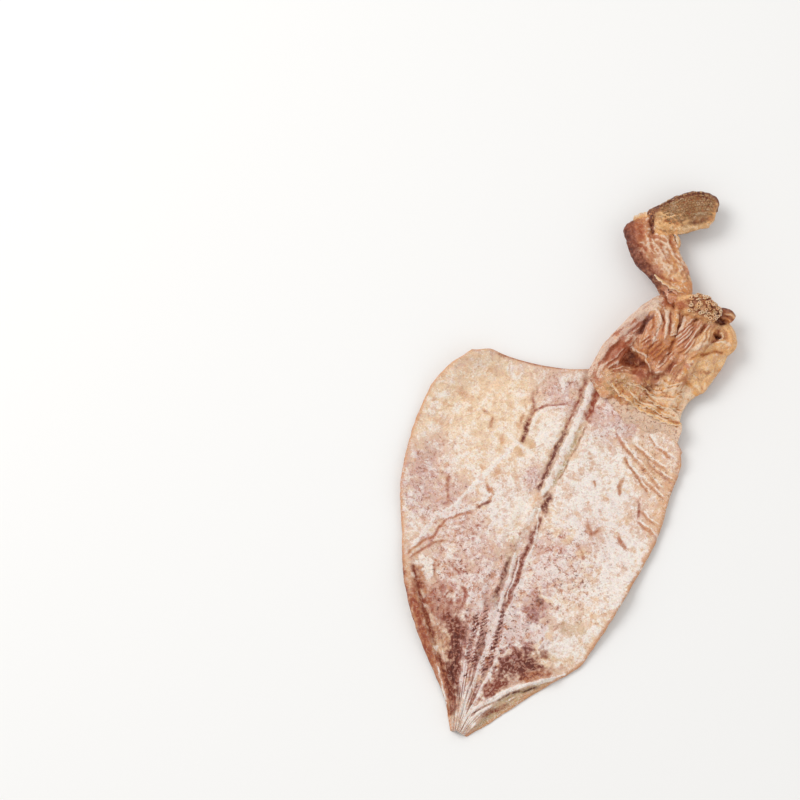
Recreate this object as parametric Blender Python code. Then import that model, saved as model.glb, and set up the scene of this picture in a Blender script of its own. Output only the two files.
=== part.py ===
"""Dried squid lying on its flat underside: the mantle, slit open and dried as a
thin wavy sheet, with the crumpled head and its folded arms at the collar.

Every length below is in millimetres and every finished mesh is in metres.
+Y runs from the tail tip to the head, +X to the right seen from above, +Z up.
The origin lies on the floor under the middle of the mantle.
"""

import math
from bisect import bisect_right

import bmesh
import bpy
from mathutils import Matrix, Vector, noise

MM = 0.001

# Mantle sheet
MANTLE_LENGTH = 208.6
SHEET_THICKNESS = 2.4
EDGE_THICKNESS = 1.3
EDGE_THINNING = 9.0
THINNEST = 0.8
COLUMNS = 32
ROWS = 42
COLUMN_GATHER = 1.5

# Distance along the mantle from its middle, and distance to the right of the midline
LEFT_EDGE = ((-104.3, -3), (-88.7, -12.5), (-62.5, -37), (-40, -53), (-15.7, -63.5),
             (10, -74), (38.8, -78.6), (62, -78.2), (76, -73), (87.5, -64.5))
RIGHT_EDGE = ((-104.3, 6), (-94, 14), (-78, 25), (-62, 37), (-50, 46.5), (-38, 50),
              (-18, 54.3), (8, 58), (28, 60), (50, 58.5), (68, 58), (75, 56))
PEN_LINE = ((-104.3, 0.5), (-83, -2), (-61, -5), (-39, -6.5), (-18, -7.5), (4, -7.5),
            (25, -5), (47, -3), (68, -1.6), (104.3, 0))

# Share of the mantle's length, and how high that edge curls off the floor
LEFT_CURL = ((0, 1.0), (0.1, 2.5), (0.25, 3.0), (0.42, 2.0), (0.6, 5.0), (0.8, 3.5), (0.93, 8.0), (1, 9.0))
RIGHT_CURL = ((0, 1.0), (0.15, 0.6), (0.3, 2.4), (0.45, 5.6), (0.6, 2.6), (0.8, 4.0), (1, 5.0))
CURL_WIDTH = 13.0
COLLAR_CURL, COLLAR_CURL_FROM = 2.5, 0.93

# Each half of the collar falls away from its peak: how far, how soon and how sharply,
# then how much more its outer corner falls, between two distances from the midline
LEFT_COLLAR = {"fall": 12.5, "reach": 20.0, "power": 1.0, "corner": 5.0, "corner_span": (54, 66)}
RIGHT_COLLAR = {"fall": 20.0, "reach": 10.0, "power": 1.6, "corner": 9.0, "corner_span": (46, 58)}
COLLAR_FALL_FROM = 0.5

# Slow waves of the sheet: height, then length over X, length over Y and phase of each
WAVE = 1.1
WAVES = ((17, 60, 0.4), (-45, 23, 2.0))
# The sheet sinks a little into the floor level, so it rests on clean flat patches
REST_SINK, REST_SINK_LIMIT = 0.5, 0.9
REST_PAD_SINK, REST_PAD_RADIUS = 2.6, 15.0
TAIL_GABLE, TAIL_GABLE_END, TAIL_GABLE_POWER = 5.5, 0.3, 1.5
RIM_ROLL, RIM_ROLL_INSET, RIM_ROLL_WIDTH = 3.6, 4.5, 3.6
RIM_ROLL_FADES = ((0.0, 0.08), (0.3, 0.42))
FIN_FOLD, FIN_FOLD_WIDTH, FIN_FOLD_END, FIN_FOLD_FADE = 2.6, 8.5, 0.23, 0.03
FIN_FOLD_STEP, FIN_FOLD_SLOPE = 2.5, 9.0
PEN_RIB, PEN_RIB_WIDTH, PEN_RIB_START = 1.3, 1.7, (0.02, 0.12)
PEN_GROOVE, PEN_GROOVE_OFFSET = 0.9, 4.2
PLEAT, PLEAT_PITCH, PLEAT_HEADING = 0.8, 9.0, Vector((0.56, 0.83))
PLEAT_FADES = ((20, 34), (30, 48))

# Head: centre, half sizes and turn in degrees of the lumps under the arms
HEAD_LUMPS = (((24, 121, 8), (21, 30, 10), -12),
              ((43, 130, 7), (16, 20, 9), -20),
              ((27, 101, 5), (19, 13, 6), 4),
              ((8, 106, 6), (9, 18, 6), -8))
LUMP_CRUMPLE = 3.0
LUMP_CRUMPLE_SIZE = 8.0
# Where an eye was and the hollow beside it: place on the floor, radius and depth
HOLLOWS = ((14.5, 111, 6.5, 9.0), (31, 103, 6.0, 6.0))

# Arms folded side by side over the head, from the hollows to its far end; each
# pair holds the leftmost and the rightmost arm's value
RIB_COUNT = 6
RIB_NEAR_END = (Vector((19, 110, 11)), Vector((40, 101, 6)))
RIB_CROWN = (Vector((19, 133, 20)), Vector((46, 129, 17)))
RIB_FAR_END = (Vector((13, 149, 9)), Vector((47, 147, 9)))
RIB_HALF_WIDTH = (3.7, 3.2)
# Half width and half height at the near end, the crown and the far end, as shares of that width
RIB_SHAPE = ((0.7, 1.0), (1.0, 1.2), (1.0, 1.1))
RIB_SWAY, RIB_SWAY_TURN = 1.6, 2.3

# Each arm: the points its middle runs through, then its half widths and half
# heights spread evenly from root to tip, and its roll in degrees
ARMS = {
    "neck_band": (((2, 94, 6), (3, 108, 10), (8, 124, 14), (14, 138, 15), (19, 149, 12)),
                  ((7, 3), (5.5, 4), (5, 4)), -8),
    "big_arm": (((24, 147, 12), (22, 154.5, 12), (16, 161, 12), (6, 170.5, 11), (-3, 180.5, 10),
                 (-8.5, 186.5, 8.5)),
                ((7.5, 5), (11, 5), (12.8, 5), (12.3, 4.5), (11.5, 4)), 6),
    "club": (((-6, 182, 9), (-1, 188, 10), (8.4, 194, 10), (18, 200.4, 10), (28.5, 205, 9)),
             ((7, 4.5), (8.5, 5.5), (9.6, 5.5), (8.6, 5)), 4),
    "sucker_arm": (((24, 149, 12), (32, 151, 17), (40, 151, 18), (47, 148, 14)),
                   ((5, 5), (6.5, 6), (5, 4.5)), 0),
    "arm_stub": (((40, 147, 11), (47, 151.5, 13), (53, 153.5, 12), (57, 150, 9)),
                 ((4, 4), (4.5, 4.5), (3.5, 3.5)), 0),
    "lip_arm": (((47, 146, 9), (54, 147.5, 9), (58.8, 143, 9), (58, 136.5, 9), (51.5, 133, 11),
                 (45, 126, 13), (38, 117, 12), (31, 109, 8)),
                ((4, 4), (4.2, 4), (3.2, 3.2), (2.8, 2.8)), 0),
}
TUBE_SIDES = 10
TUBE_STEP = 3.6
HEADING_SPAN = 1.0
# A tube's end is a dome as long as this share of its half width, with rings at these shares
DOME = 0.6
DOME_SHARES = (0.03, 0.25, 0.6, 1.0)

# Pointed skin flap below the lip arm, and the pleated skin along the right half of the collar
FLAP_ROOT_LEFT, FLAP_ROOT_RIGHT = Vector((37, 118, 12)), Vector((59, 132, 8))
FLAP_TIP = Vector((55, 108, 5))
FLAP_REACH, FLAP_TAPER, FLAP_BULGE = 0.92, 1.6, 2.2
FLAP_CELLS = 7
COLLAR_SKIN_SPAN = (7.0, 52.0)
COLLAR_SKIN_OVERLAP, COLLAR_SKIN_DEPTH, COLLAR_SKIN_NARROWING = 2.0, 17.0, 0.5
COLLAR_SKIN_HEIGHT, COLLAR_SKIN_RISE = 5.0, 2.5
COLLAR_SKIN_PLEAT, COLLAR_SKIN_PLEATS, COLLAR_SKIN_LEAN, COLLAR_SKIN_CALMING = 1.4, 3.5, 0.6, 0.5
COLLAR_SKIN_CELLS = (18, 6)
SKIN_THICKNESS = 1.6

FLESH_COLOUR = (0.73, 0.55, 0.43, 1.0)
FLESH_ROUGHNESS = 0.62
SHARP_ANGLE = 60.0


def smooth_step(low, high, value):
    share = min(max((value - low) / (high - low), 0.0), 1.0)
    return share * share * (3.0 - 2.0 * share)


def hump(distance, width):
    return math.exp(-((distance / width) ** 2))


def flowing_curve(stations):
    """A smooth curve through (place, value) stations, read at any place."""
    places = [place for place, _ in stations]
    values = [value for _, value in stations]
    last = len(stations) - 1
    slopes = []
    for i in range(last + 1):
        before, after = max(i - 1, 0), min(i + 1, last)
        slopes.append((values[after] - values[before]) / (places[after] - places[before]))

    def read(place):
        place = min(max(place, places[0]), places[last])
        i = min(bisect_right(places, place), last) - 1
        span = places[i + 1] - places[i]
        t = (place - places[i]) / span
        return (values[i] * (1 + 2 * t) * (1 - t) ** 2 + values[i + 1] * t * t * (3 - 2 * t)
                + (slopes[i] * (1 - t) - slopes[i + 1] * t) * (span * t * (1 - t)))

    return read


left_edge = flowing_curve(LEFT_EDGE)
right_edge = flowing_curve(RIGHT_EDGE)
pen_line = flowing_curve(PEN_LINE)
left_curl = flowing_curve(LEFT_CURL)
right_curl = flowing_curve(RIGHT_CURL)


def collar_drop(across):
    """How far the collar lies below its peak; across is -1 at the left edge, 1 at the right."""
    shape, edge = (LEFT_COLLAR, LEFT_EDGE) if across < 0 else (RIGHT_COLLAR, RIGHT_EDGE)
    aside = abs(across * edge[-1][1])
    return (shape["fall"] * (1 - math.exp(-((aside / shape["reach"]) ** shape["power"])))
            + shape["corner"] * smooth_step(*shape["corner_span"], aside))


def mantle_place(across, along):
    """Where a point of the sheet lies on the floor, and its distance from the nearer edge."""
    middle = (along - 0.5) * MANTLE_LENGTH
    y = middle - collar_drop(across) * smooth_step(COLLAR_FALL_FROM, 1.0, along)
    pen = pen_line(middle)
    edge = left_edge(y) if across < 0 else right_edge(y)
    x = pen + (edge - pen) * abs(across)
    return x, y, abs(edge - pen) * (1 - abs(across))


def mantle_lift(x, y, across, along, inset):
    """Height of the sheet's underside over the floor, below zero where it rests."""
    curl = left_curl(along) if across < 0 else right_curl(along)
    lift = curl * hump(inset, CURL_WIDTH) - REST_SINK
    lift += COLLAR_CURL * smooth_step(COLLAR_CURL_FROM, 1.0, along)
    for length_x, length_y, phase in WAVES:
        lift += WAVE * math.sin(x / length_x + y / length_y + phase)
    gable = 1 - smooth_step(0, TAIL_GABLE_END, along)
    lift += TAIL_GABLE * gable * (1 - abs(across)) ** TAIL_GABLE_POWER
    if across < 0:
        fade_in, fade_out = RIM_ROLL_FADES
        rolled = smooth_step(*fade_in, along) * (1 - smooth_step(*fade_out, along))
        lift += RIM_ROLL * rolled * hump(inset - RIM_ROLL_INSET, RIM_ROLL_WIDTH)
    return lift - REST_PAD_SINK * hump(math.hypot(x, y), REST_PAD_RADIUS)


def mantle_relief(x, y, across, along, inset):
    """What stands on the upper face only: pen rib and grooves, fin fold and pleats."""
    aside = x - pen_line(y)
    shown = smooth_step(*PEN_RIB_START, along)
    relief = PEN_RIB * shown * hump(aside, PEN_RIB_WIDTH)
    for offset in (-PEN_GROOVE_OFFSET, PEN_GROOVE_OFFSET):
        relief -= PEN_GROOVE * shown * hump(aside - offset, PEN_RIB_WIDTH)
    if across > 0:
        width = FIN_FOLD_WIDTH * math.sin(math.pi * min(along / FIN_FOLD_END, 1.0))
        folded = (smooth_step(0.0, FIN_FOLD_FADE, along)
                  * (1 - smooth_step(FIN_FOLD_END - FIN_FOLD_FADE, FIN_FOLD_END, along)))
        step = smooth_step(width - FIN_FOLD_STEP, width, inset) * hump(inset - width, FIN_FOLD_SLOPE)
        relief += FIN_FOLD * folded * step
    pleated = smooth_step(*PLEAT_FADES[0], x) * smooth_step(*PLEAT_FADES[1], y)
    return relief + PLEAT * pleated * math.sin(PLEAT_HEADING.dot((x, y)) * math.tau / PLEAT_PITCH)


def add_object(name, bm, collection):
    bmesh.ops.recalc_face_normals(bm, faces=bm.faces[:])
    bmesh.ops.transform(bm, matrix=Matrix.Scale(MM, 4), verts=bm.verts[:])
    mesh = bpy.data.meshes.new(name)
    bm.to_mesh(mesh)
    bm.free()
    item = bpy.data.objects.new(name, mesh)
    collection.objects.link(item)
    return item


def thick_sheet(cells, place, thickness):
    """A closed leaf over a grid; place gives the underside, thickness what is added in Z."""
    bm = bmesh.new()
    bmesh.ops.create_grid(bm, x_segments=cells[0], y_segments=cells[1], size=0.5)
    bmesh.ops.triangulate(bm, faces=bm.faces[:])
    shares = [(v.co.x * 2.0, v.co.y + 0.5) for v in bm.verts]
    tops = []
    for vert, (across, along) in zip(bm.verts, shares):
        vert.co = place(across, along)
        tops.append(vert.co.z + thickness(across, along))
    height = bm.verts.layers.float.new("height")
    for vert, top in zip(bm.verts, tops):
        vert[height] = top
    grown = bmesh.ops.extrude_face_region(bm, geom=bm.faces[:])["geom"]
    for vert in (item for item in grown if isinstance(item, bmesh.types.BMVert)):
        vert.co.z = vert[height]
    return bm


def build_mantle(collection):
    def gathered(across):
        return math.copysign(abs(across) ** COLUMN_GATHER, across)

    def underside(across, along):
        across = gathered(across)
        x, y, inset = mantle_place(across, along)
        return Vector((x, y, max(mantle_lift(x, y, across, along, inset), 0.0)))

    def thickness(across, along):
        across = gathered(across)
        x, y, inset = mantle_place(across, along)
        lift = mantle_lift(x, y, across, along, inset)
        body = SHEET_THICKNESS - (SHEET_THICKNESS - EDGE_THICKNESS) * hump(inset, EDGE_THINNING)
        relief = mantle_relief(x, y, across, along, inset)
        sunk = min(max(lift, -REST_SINK_LIMIT), 0.0)
        return max(body + relief + sunk, THINNEST)

    return add_object("mantle", thick_sheet((COLUMNS, ROWS), underside, thickness), collection)


def build_lump(index, centre, half_sizes, turn, collection):
    """A crumpled, flattened ball of the head, sunk in at the hollows."""
    bm = bmesh.new()
    bmesh.ops.create_uvsphere(bm, u_segments=20, v_segments=11, radius=1.0)
    shape = (Matrix.Translation(centre) @ Matrix.Rotation(math.radians(turn), 4, "Z")
             @ Matrix.Diagonal((*half_sizes, 1.0)))
    for vert in bm.verts:
        outward = vert.co.copy()
        vert.co = shape @ vert.co
        vert.co += outward * (LUMP_CRUMPLE * noise.noise(vert.co / LUMP_CRUMPLE_SIZE))
        if outward.z > 0:
            for x, y, radius, depth in HOLLOWS:
                vert.co.z -= depth * hump(math.hypot(vert.co.x - x, vert.co.y - y), radius)
        vert.co.z = max(vert.co.z, 0.0)
    return add_object(f"head_lump_{index}", bm, collection)


def spread_evenly(values, length):
    """Stations for flowing_curve, the values spaced evenly over a length."""
    return [(length * i / (len(values) - 1), Vector(value)) for i, value in enumerate(values)]


def spread_by_distance(points):
    """Stations for flowing_curve, each point at its distance along the chain of points."""
    stations = [(0.0, Vector(points[0]))]
    for point in points[1:]:
        place, before = stations[-1]
        stations.append((place + (Vector(point) - before).length, Vector(point)))
    return stations


def tube_rings(length, root_dome, tip_dome):
    """(place along the tube, share of its full girth) of every ring."""
    domed = [(share, math.sqrt(1 - (1 - share) ** 2)) for share in DOME_SHARES]
    rings = [(share * root_dome, girth) for share, girth in domed]
    middle = length - root_dome - tip_dome
    steps = max(round(middle / TUBE_STEP), 1)
    rings += [(root_dome + middle * i / steps, 1.0) for i in range(1, steps)]
    return rings + [(length - share * tip_dome, girth) for share, girth in reversed(domed)]


def build_tube(name, points, sizes, roll, collection):
    """A flattened tube through the points, extruded ring by ring."""
    stations = spread_by_distance(points)
    length = stations[-1][0]
    path = flowing_curve(stations)
    half_sizes = flowing_curve(spread_evenly(sizes, length))

    bm = bmesh.new()
    bmesh.ops.create_circle(bm, cap_ends=True, segments=TUBE_SIDES, radius=1.0)
    spoke = bm.verts.layers.int.new("spoke")
    for i, vert in enumerate(bm.verts):
        vert[spoke] = i
    ring, edges = bm.verts[:], bm.edges[:]
    side = None
    for place, girth in tube_rings(length, DOME * sizes[0][0], DOME * sizes[-1][0]):
        heading = (path(place + HEADING_SPAN / 2) - path(place - HEADING_SPAN / 2)).normalized()
        if side is None:
            level = heading.cross(Vector((0, 0, 1))).normalized()
            side = Matrix.Rotation(math.radians(roll), 3, heading) @ level
        else:
            grown = bmesh.ops.extrude_edge_only(bm, edges=edges)["geom"]
            edges = [item for item in grown if isinstance(item, bmesh.types.BMEdge)]
            ring = [item for item in grown if isinstance(item, bmesh.types.BMVert)]
        side = (side - heading * side.dot(heading)).normalized()
        half_width, half_height = half_sizes(place) * girth
        for vert in ring:
            angle = math.tau * vert[spoke] / TUBE_SIDES
            vert.co = path(place) + side * (half_width * math.cos(angle))
            vert.co += side.cross(heading) * (half_height * math.sin(angle))
            vert.co.z = max(vert.co.z, 0.0)
    bmesh.ops.edgeloop_fill(bm, edges=edges)
    return add_object(name, bm, collection)


def build_ribs(collection):
    for i in range(RIB_COUNT):
        share = i / (RIB_COUNT - 1)
        points = [pair[0].lerp(pair[1], share) for pair in (RIB_NEAR_END, RIB_CROWN, RIB_FAR_END)]
        points[1].x += RIB_SWAY * math.sin(RIB_SWAY_TURN * i)
        width = RIB_HALF_WIDTH[0] + (RIB_HALF_WIDTH[1] - RIB_HALF_WIDTH[0]) * share
        sizes = [(width * broad, width * tall) for broad, tall in RIB_SHAPE]
        build_tube(f"rib_arm_{i + 1}", points, sizes, 0, collection)


def build_flap(collection):
    """A pointed flap of skin that hangs from the lip arm to the shoulder."""
    def underside(across, along):
        root = FLAP_ROOT_LEFT.lerp(FLAP_ROOT_RIGHT, (across + 1) / 2)
        narrowed = root.lerp(FLAP_TIP, along ** FLAP_TAPER * FLAP_REACH)
        narrowed.z += FLAP_BULGE * math.sin(math.pi * along) * (1 - across * across)
        return narrowed

    sheet = thick_sheet((FLAP_CELLS, FLAP_CELLS), underside, lambda across, along: SKIN_THICKNESS)
    return add_object("skin_flap", sheet, collection)


def build_collar_skin(collection):
    """Thin pleated skin that comes out from under the head and lies on the collar."""
    def underside(across, along):
        share = (across + 1) / 2
        x = COLLAR_SKIN_SPAN[0] + (COLLAR_SKIN_SPAN[1] - COLLAR_SKIN_SPAN[0]) * share
        collar = MANTLE_LENGTH / 2 - collar_drop(x / RIGHT_EDGE[-1][1])
        depth = COLLAR_SKIN_DEPTH * (1 - COLLAR_SKIN_NARROWING * share ** 3)
        y = collar - COLLAR_SKIN_OVERLAP + depth * along
        pleat = COLLAR_SKIN_PLEAT * (1 - COLLAR_SKIN_CALMING * along)
        pleat *= math.sin(math.tau * (COLLAR_SKIN_PLEATS * share + COLLAR_SKIN_LEAN * along))
        return Vector((x, y, COLLAR_SKIN_HEIGHT + COLLAR_SKIN_RISE * along + pleat))

    sheet = thick_sheet(COLLAR_SKIN_CELLS, underside, lambda across, along: SKIN_THICKNESS)
    return add_object("collar_skin", sheet, collection)


def keep_main_body(mesh):
    """Drops every shell but the largest: loose scraps and the walls of sealed hollows."""
    bm = bmesh.new()
    bm.from_mesh(mesh)
    shells, seen = [], set()
    for start in bm.verts:
        if start in seen:
            continue
        shell, front = {start}, [start]
        while front:
            vert = front.pop()
            for edge in vert.link_edges:
                other = edge.other_vert(vert)
                if other not in shell:
                    shell.add(other)
                    front.append(other)
        seen |= shell
        shells.append(shell)
    shells.sort(key=len)
    for shell in shells[:-1]:
        bmesh.ops.delete(bm, geom=list(shell), context="VERTS")
    bmesh.ops.triangulate(bm, faces=bm.faces[:])
    bm.to_mesh(mesh)
    bm.free()


def flesh_material():
    material = bpy.data.materials.new("dried_flesh")
    material.use_nodes = True
    shader = material.node_tree.nodes["Principled BSDF"]
    shader.inputs["Base Color"].default_value = FLESH_COLOUR
    shader.inputs["Roughness"].default_value = FLESH_ROUGHNESS
    shader.inputs["Metallic"].default_value = 0.0
    return material


def build_squid():
    scene = bpy.context.scene.collection
    pieces = bpy.data.collections.new("head_pieces")
    scene.children.link(pieces)
    squid = build_mantle(scene)
    squid.name = squid.data.name = "squid"
    for index, (centre, half_sizes, turn) in enumerate(HEAD_LUMPS, start=1):
        build_lump(index, centre, half_sizes, turn, pieces)
    for name, (points, sizes, roll) in ARMS.items():
        build_tube(name, points, sizes, roll, pieces)
    build_ribs(pieces)
    build_flap(pieces)
    build_collar_skin(pieces)

    joined = squid.modifiers.new("join_head", "BOOLEAN")
    joined.operation = "UNION"
    joined.operand_type = "COLLECTION"
    joined.collection = pieces
    joined.solver = "MANIFOLD"
    with bpy.context.temp_override(object=squid, active_object=squid):
        bpy.ops.object.modifier_apply(modifier=joined.name)
    for piece in list(pieces.objects):
        bpy.data.objects.remove(piece)
    bpy.data.collections.remove(pieces)

    keep_main_body(squid.data)
    squid.data.shade_smooth()
    squid.data.set_sharp_from_angle(angle=math.radians(SHARP_ANGLE))
    squid.data.materials.append(flesh_material())


def main():
    for item in list(bpy.data.objects):
        bpy.data.objects.remove(item)
    build_squid()


main()
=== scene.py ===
"""Dried squid: the slit mantle, air dried flat as a thin wavy sheet, and the crumpled head
with its folded arm and club, each dressed with its own dried skin.

Shapes are worked out in millimetres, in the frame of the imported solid: +Y from the tail to
the head, +X to the right seen from above, +Z up. Finished meshes are in metres.
"""

import math
from collections import namedtuple

import bmesh
import bpy
import numpy as np
from bpy.props import FloatProperty, FloatVectorProperty, IntProperty, PointerProperty
from mathutils import Matrix, Vector, noise
from mathutils.bvhtree import BVHTree
from mathutils.kdtree import KDTree


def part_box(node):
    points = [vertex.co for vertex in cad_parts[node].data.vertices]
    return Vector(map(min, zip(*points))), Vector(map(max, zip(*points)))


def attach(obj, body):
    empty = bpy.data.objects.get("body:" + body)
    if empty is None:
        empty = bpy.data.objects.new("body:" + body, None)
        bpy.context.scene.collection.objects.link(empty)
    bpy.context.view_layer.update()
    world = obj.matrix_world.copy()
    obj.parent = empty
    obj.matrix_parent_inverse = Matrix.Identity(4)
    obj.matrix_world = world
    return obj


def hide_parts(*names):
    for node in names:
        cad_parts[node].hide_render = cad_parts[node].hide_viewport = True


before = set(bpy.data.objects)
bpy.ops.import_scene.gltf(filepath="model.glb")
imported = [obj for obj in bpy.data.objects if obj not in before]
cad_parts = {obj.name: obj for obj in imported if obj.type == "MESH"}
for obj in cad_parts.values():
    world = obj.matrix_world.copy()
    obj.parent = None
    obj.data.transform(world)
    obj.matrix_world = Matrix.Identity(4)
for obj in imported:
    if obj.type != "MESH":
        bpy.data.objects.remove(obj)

bl_info = {
    "name": "Dried Squid",
    "version": (1, 0, 0),
    "blender": (4, 5, 0),
    "location": "3D View > Sidebar > Dried Squid",
    "description": "Builds an air-dried squid, its mantle, head, folded arm, club and suckers",
    "category": "Add Mesh",
}

MM = 0.001
NODE, BODY, SLOT = "squid", "root", "dried_flesh"

# The mantle's form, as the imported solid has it
MANTLE_LENGTH = 208.6
EDGE_THINNING = 9.0
THINNEST = 0.8
LEFT_EDGE = ((-104.3, -3), (-88.7, -12.5), (-62.5, -37), (-40, -53), (-15.7, -63.5),
             (10, -74), (38.8, -78.6), (62, -78.2), (76, -73), (87.5, -64.5))
RIGHT_EDGE = ((-104.3, 6), (-94, 14), (-78, 25), (-62, 37), (-50, 46.5), (-38, 50),
              (-18, 54.3), (8, 58), (28, 60), (50, 58.5), (68, 58), (75, 56))
PEN_LINE = ((-104.3, 0.5), (-83, -2), (-61, -5), (-39, -6.5), (-18, -7.5), (4, -7.5),
            (25, -5), (47, -3), (68, -1.6), (104.3, 0))
LEFT_CURL = ((0, 1.0), (0.1, 2.5), (0.25, 3.0), (0.42, 2.0), (0.6, 5.0), (0.8, 3.5), (0.93, 8.0), (1, 9.0))
RIGHT_CURL = ((0, 1.0), (0.15, 0.6), (0.3, 2.4), (0.45, 5.6), (0.6, 2.6), (0.8, 4.0), (1, 5.0))
CURL_WIDTH = 13.0
COLLAR_CURL, COLLAR_CURL_FROM = 2.5, 0.93
LEFT_COLLAR = {"fall": 12.5, "reach": 20.0, "power": 1.0, "corner": 5.0, "corner_span": (54, 66)}
RIGHT_COLLAR = {"fall": 20.0, "reach": 10.0, "power": 1.6, "corner": 9.0, "corner_span": (46, 58)}
COLLAR_FALL_FROM = 0.5
WAVE = 1.1
WAVES = ((17, 60, 0.4), (-45, 23, 2.0))
REST_SINK, REST_SINK_LIMIT = 0.5, 0.9
REST_PAD_SINK, REST_PAD_RADIUS = 2.6, 15.0
TAIL_GABLE, TAIL_GABLE_END, TAIL_GABLE_POWER = 5.5, 0.3, 1.5
RIM_ROLL_INSET, RIM_ROLL_WIDTH = 4.5, 3.6
RIM_ROLL_FADES = ((0.0, 0.08), (0.3, 0.42))
FIN_FOLD_WIDTH, FIN_FOLD_END, FIN_FOLD_FADE = 8.5, 0.23, 0.03
FIN_FOLD_STEP, FIN_FOLD_SLOPE = 2.5, 9.0
PEN_RIB_WIDTH, PEN_RIB_START = 1.9, (0.02, 0.12)
PEN_GROOVE_OFFSET = 4.2
PLEAT_HEADING = (0.56, 0.83)
PLEAT_FADES = ((20, 34), (30, 48))

# The head's form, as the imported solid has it. A tube has half breadths and half heights along its points.
Tube = namedtuple("Tube", "points sizes roll")
HEAD_LUMPS = (((24, 121, 8), (21, 30, 10), -12),
              ((43, 130, 7), (16, 20, 9), -20),
              ((27, 101, 5), (19, 13, 6), 4),
              ((8, 106, 6), (9, 18, 6), -8))
LUMP_CRUMPLE, LUMP_CRUMPLE_SIZE = 3.0, 8.0
HOLLOWS = ((14.5, 111, 6.5, 9.0), (31, 103, 6.0, 6.0))
RIB_COUNT = 6
RIB_NEAR_END = ((19, 110, 11), (40, 101, 6))
RIB_CROWN = ((19, 133, 18.8), (46, 129, 16))
RIB_FAR_END = ((15, 146, 9), (47, 147, 9))
RIB_HALF_WIDTH = (4.0, 3.6)
RIB_SHAPE = ((0.7, 1.0), (1.0, 1.2), (1.0, 1.1))
RIB_SWAY, RIB_SWAY_TURN = 1.6, 2.3
NECK_BAND = Tube(((2, 94, 6), (3, 108, 10), (8, 124, 14), (14, 138, 15), (19.5, 148, 12)),
                 ((7, 3), (5.5, 4), (4.2, 3.6)), -8)
BIG_ARM = Tube(((24, 147, 12), (23, 154, 12), (18, 161.5, 12), (10, 167.5, 11.5), (3, 174, 11),
                (-3.2, 181, 10.5), (-8, 186.5, 9)),
               ((7, 5), (9, 5), (10, 5), (12.3, 4.8), (12.2, 4.5), (10, 4)), 6)
CLUB = Tube(((-2.4, 184, 11), (4.6, 189.9, 11.5), (11.1, 195.6, 11), (17.6, 200.5, 10.5), (23.6, 203, 10),
             (27.2, 203.5, 9.5)),
            ((6.6, 4.2), (8.4, 4.8), (9.8, 5.2), (9.6, 5), (8, 4.6)), 4)
SUCKER_ARM = Tube(((26, 147.5, 12), (34, 149, 16.6), (41, 149.4, 17.4), (47.6, 147, 13.5)),
                  ((4.5, 4.5), (6.2, 5.6), (5, 4.5)), 0)
ARM_STUB = Tube(((41, 147, 10), (47, 150.3, 11.5), (52, 152.3, 11), (55.8, 151, 9.5)),
                ((3.5, 3.5), (3.8, 3.6), (3.2, 3.2)), 0)
LIP_ARM = Tube(((47, 146.5, 9), (52.5, 146, 9), (56.6, 143.4, 9.5), (59.2, 138, 9.5), (56.4, 133.2, 9.5),
                (50, 130.3, 11), (44, 125, 12.5), (38, 117, 12), (31, 109, 8)),
               ((3.2, 3.4), (3.2, 3.4), (2.8, 3.0), (2.6, 2.8), (2.8, 2.8)), 0)
DOME = 0.6
WEB_CORNERS = ((39, 115.5, 9), (55, 110.5, 5.0), (35, 97, 5.5), (49, 91.5, 3.6))
WEB_HOLLOW, WEB_WAVE = 3.2, 0.5
FLAP_ROOTS, FLAP_TIP = ((37, 118, 12), (59, 132, 8)), (55, 108, 5)
FLAP_REACH, FLAP_TAPER, FLAP_BULGE = 0.92, 1.6, 2.2
COLLAR_SKIN_SPAN = (7.0, 52.0)
COLLAR_SKIN_OVERLAP, COLLAR_SKIN_DEPTH, COLLAR_SKIN_NARROWING = 2.0, 17.0, 0.5
COLLAR_SKIN_HEIGHT, COLLAR_SKIN_RISE = 5.0, 2.5
COLLAR_SKIN_PLEAT, COLLAR_SKIN_PLEATS, COLLAR_SKIN_LEAN, COLLAR_SKIN_CALMING = 0.8, 3.5, 0.6, 0.5
SKIN_THICKNESS = 1.6

# A surface carries how much of each of these it shows, from 0 to 1, at each of its points
STAINS = ("peach", "mauve", "olive", "amber", "blood", "umber", "bloom", "fleck")

# A brush line: the points it runs through, its half width, how far it raises the skin, its stains (below
# zero they are wiped away), and the pitch of the ticks that it is broken up into, if any
Stroke = namedtuple("Stroke", "points width height stains ticks", defaults=(0.0,))
# A soft oval: its centre, half length and half breadth, its turn in degrees, its stains
Patch = namedtuple("Patch", "centre size turn stains")
# Fine ridges that fan out between two lines, with a red trough beside each
RidgeFan = namedtuple("RidgeFan", "first last count width height strength")


def stroke(width, height, *points, ticks=0.0, **stains):
    """A Stroke, written shorter."""
    return Stroke(points, width, height, stains, ticks)


def patch(centre, size, turn, **stains):
    """A Patch, written shorter."""
    return Patch(centre, size, turn, stains)


def paired(lines, look, aside, look_aside):
    """Strokes along each line in one look, and beside it in another; a look is width, height, stains."""
    marks = []
    for line in lines:
        marks += (Stroke(line, *look), Stroke(np.array(line) + aside, *look_aside))
    return marks


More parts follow.
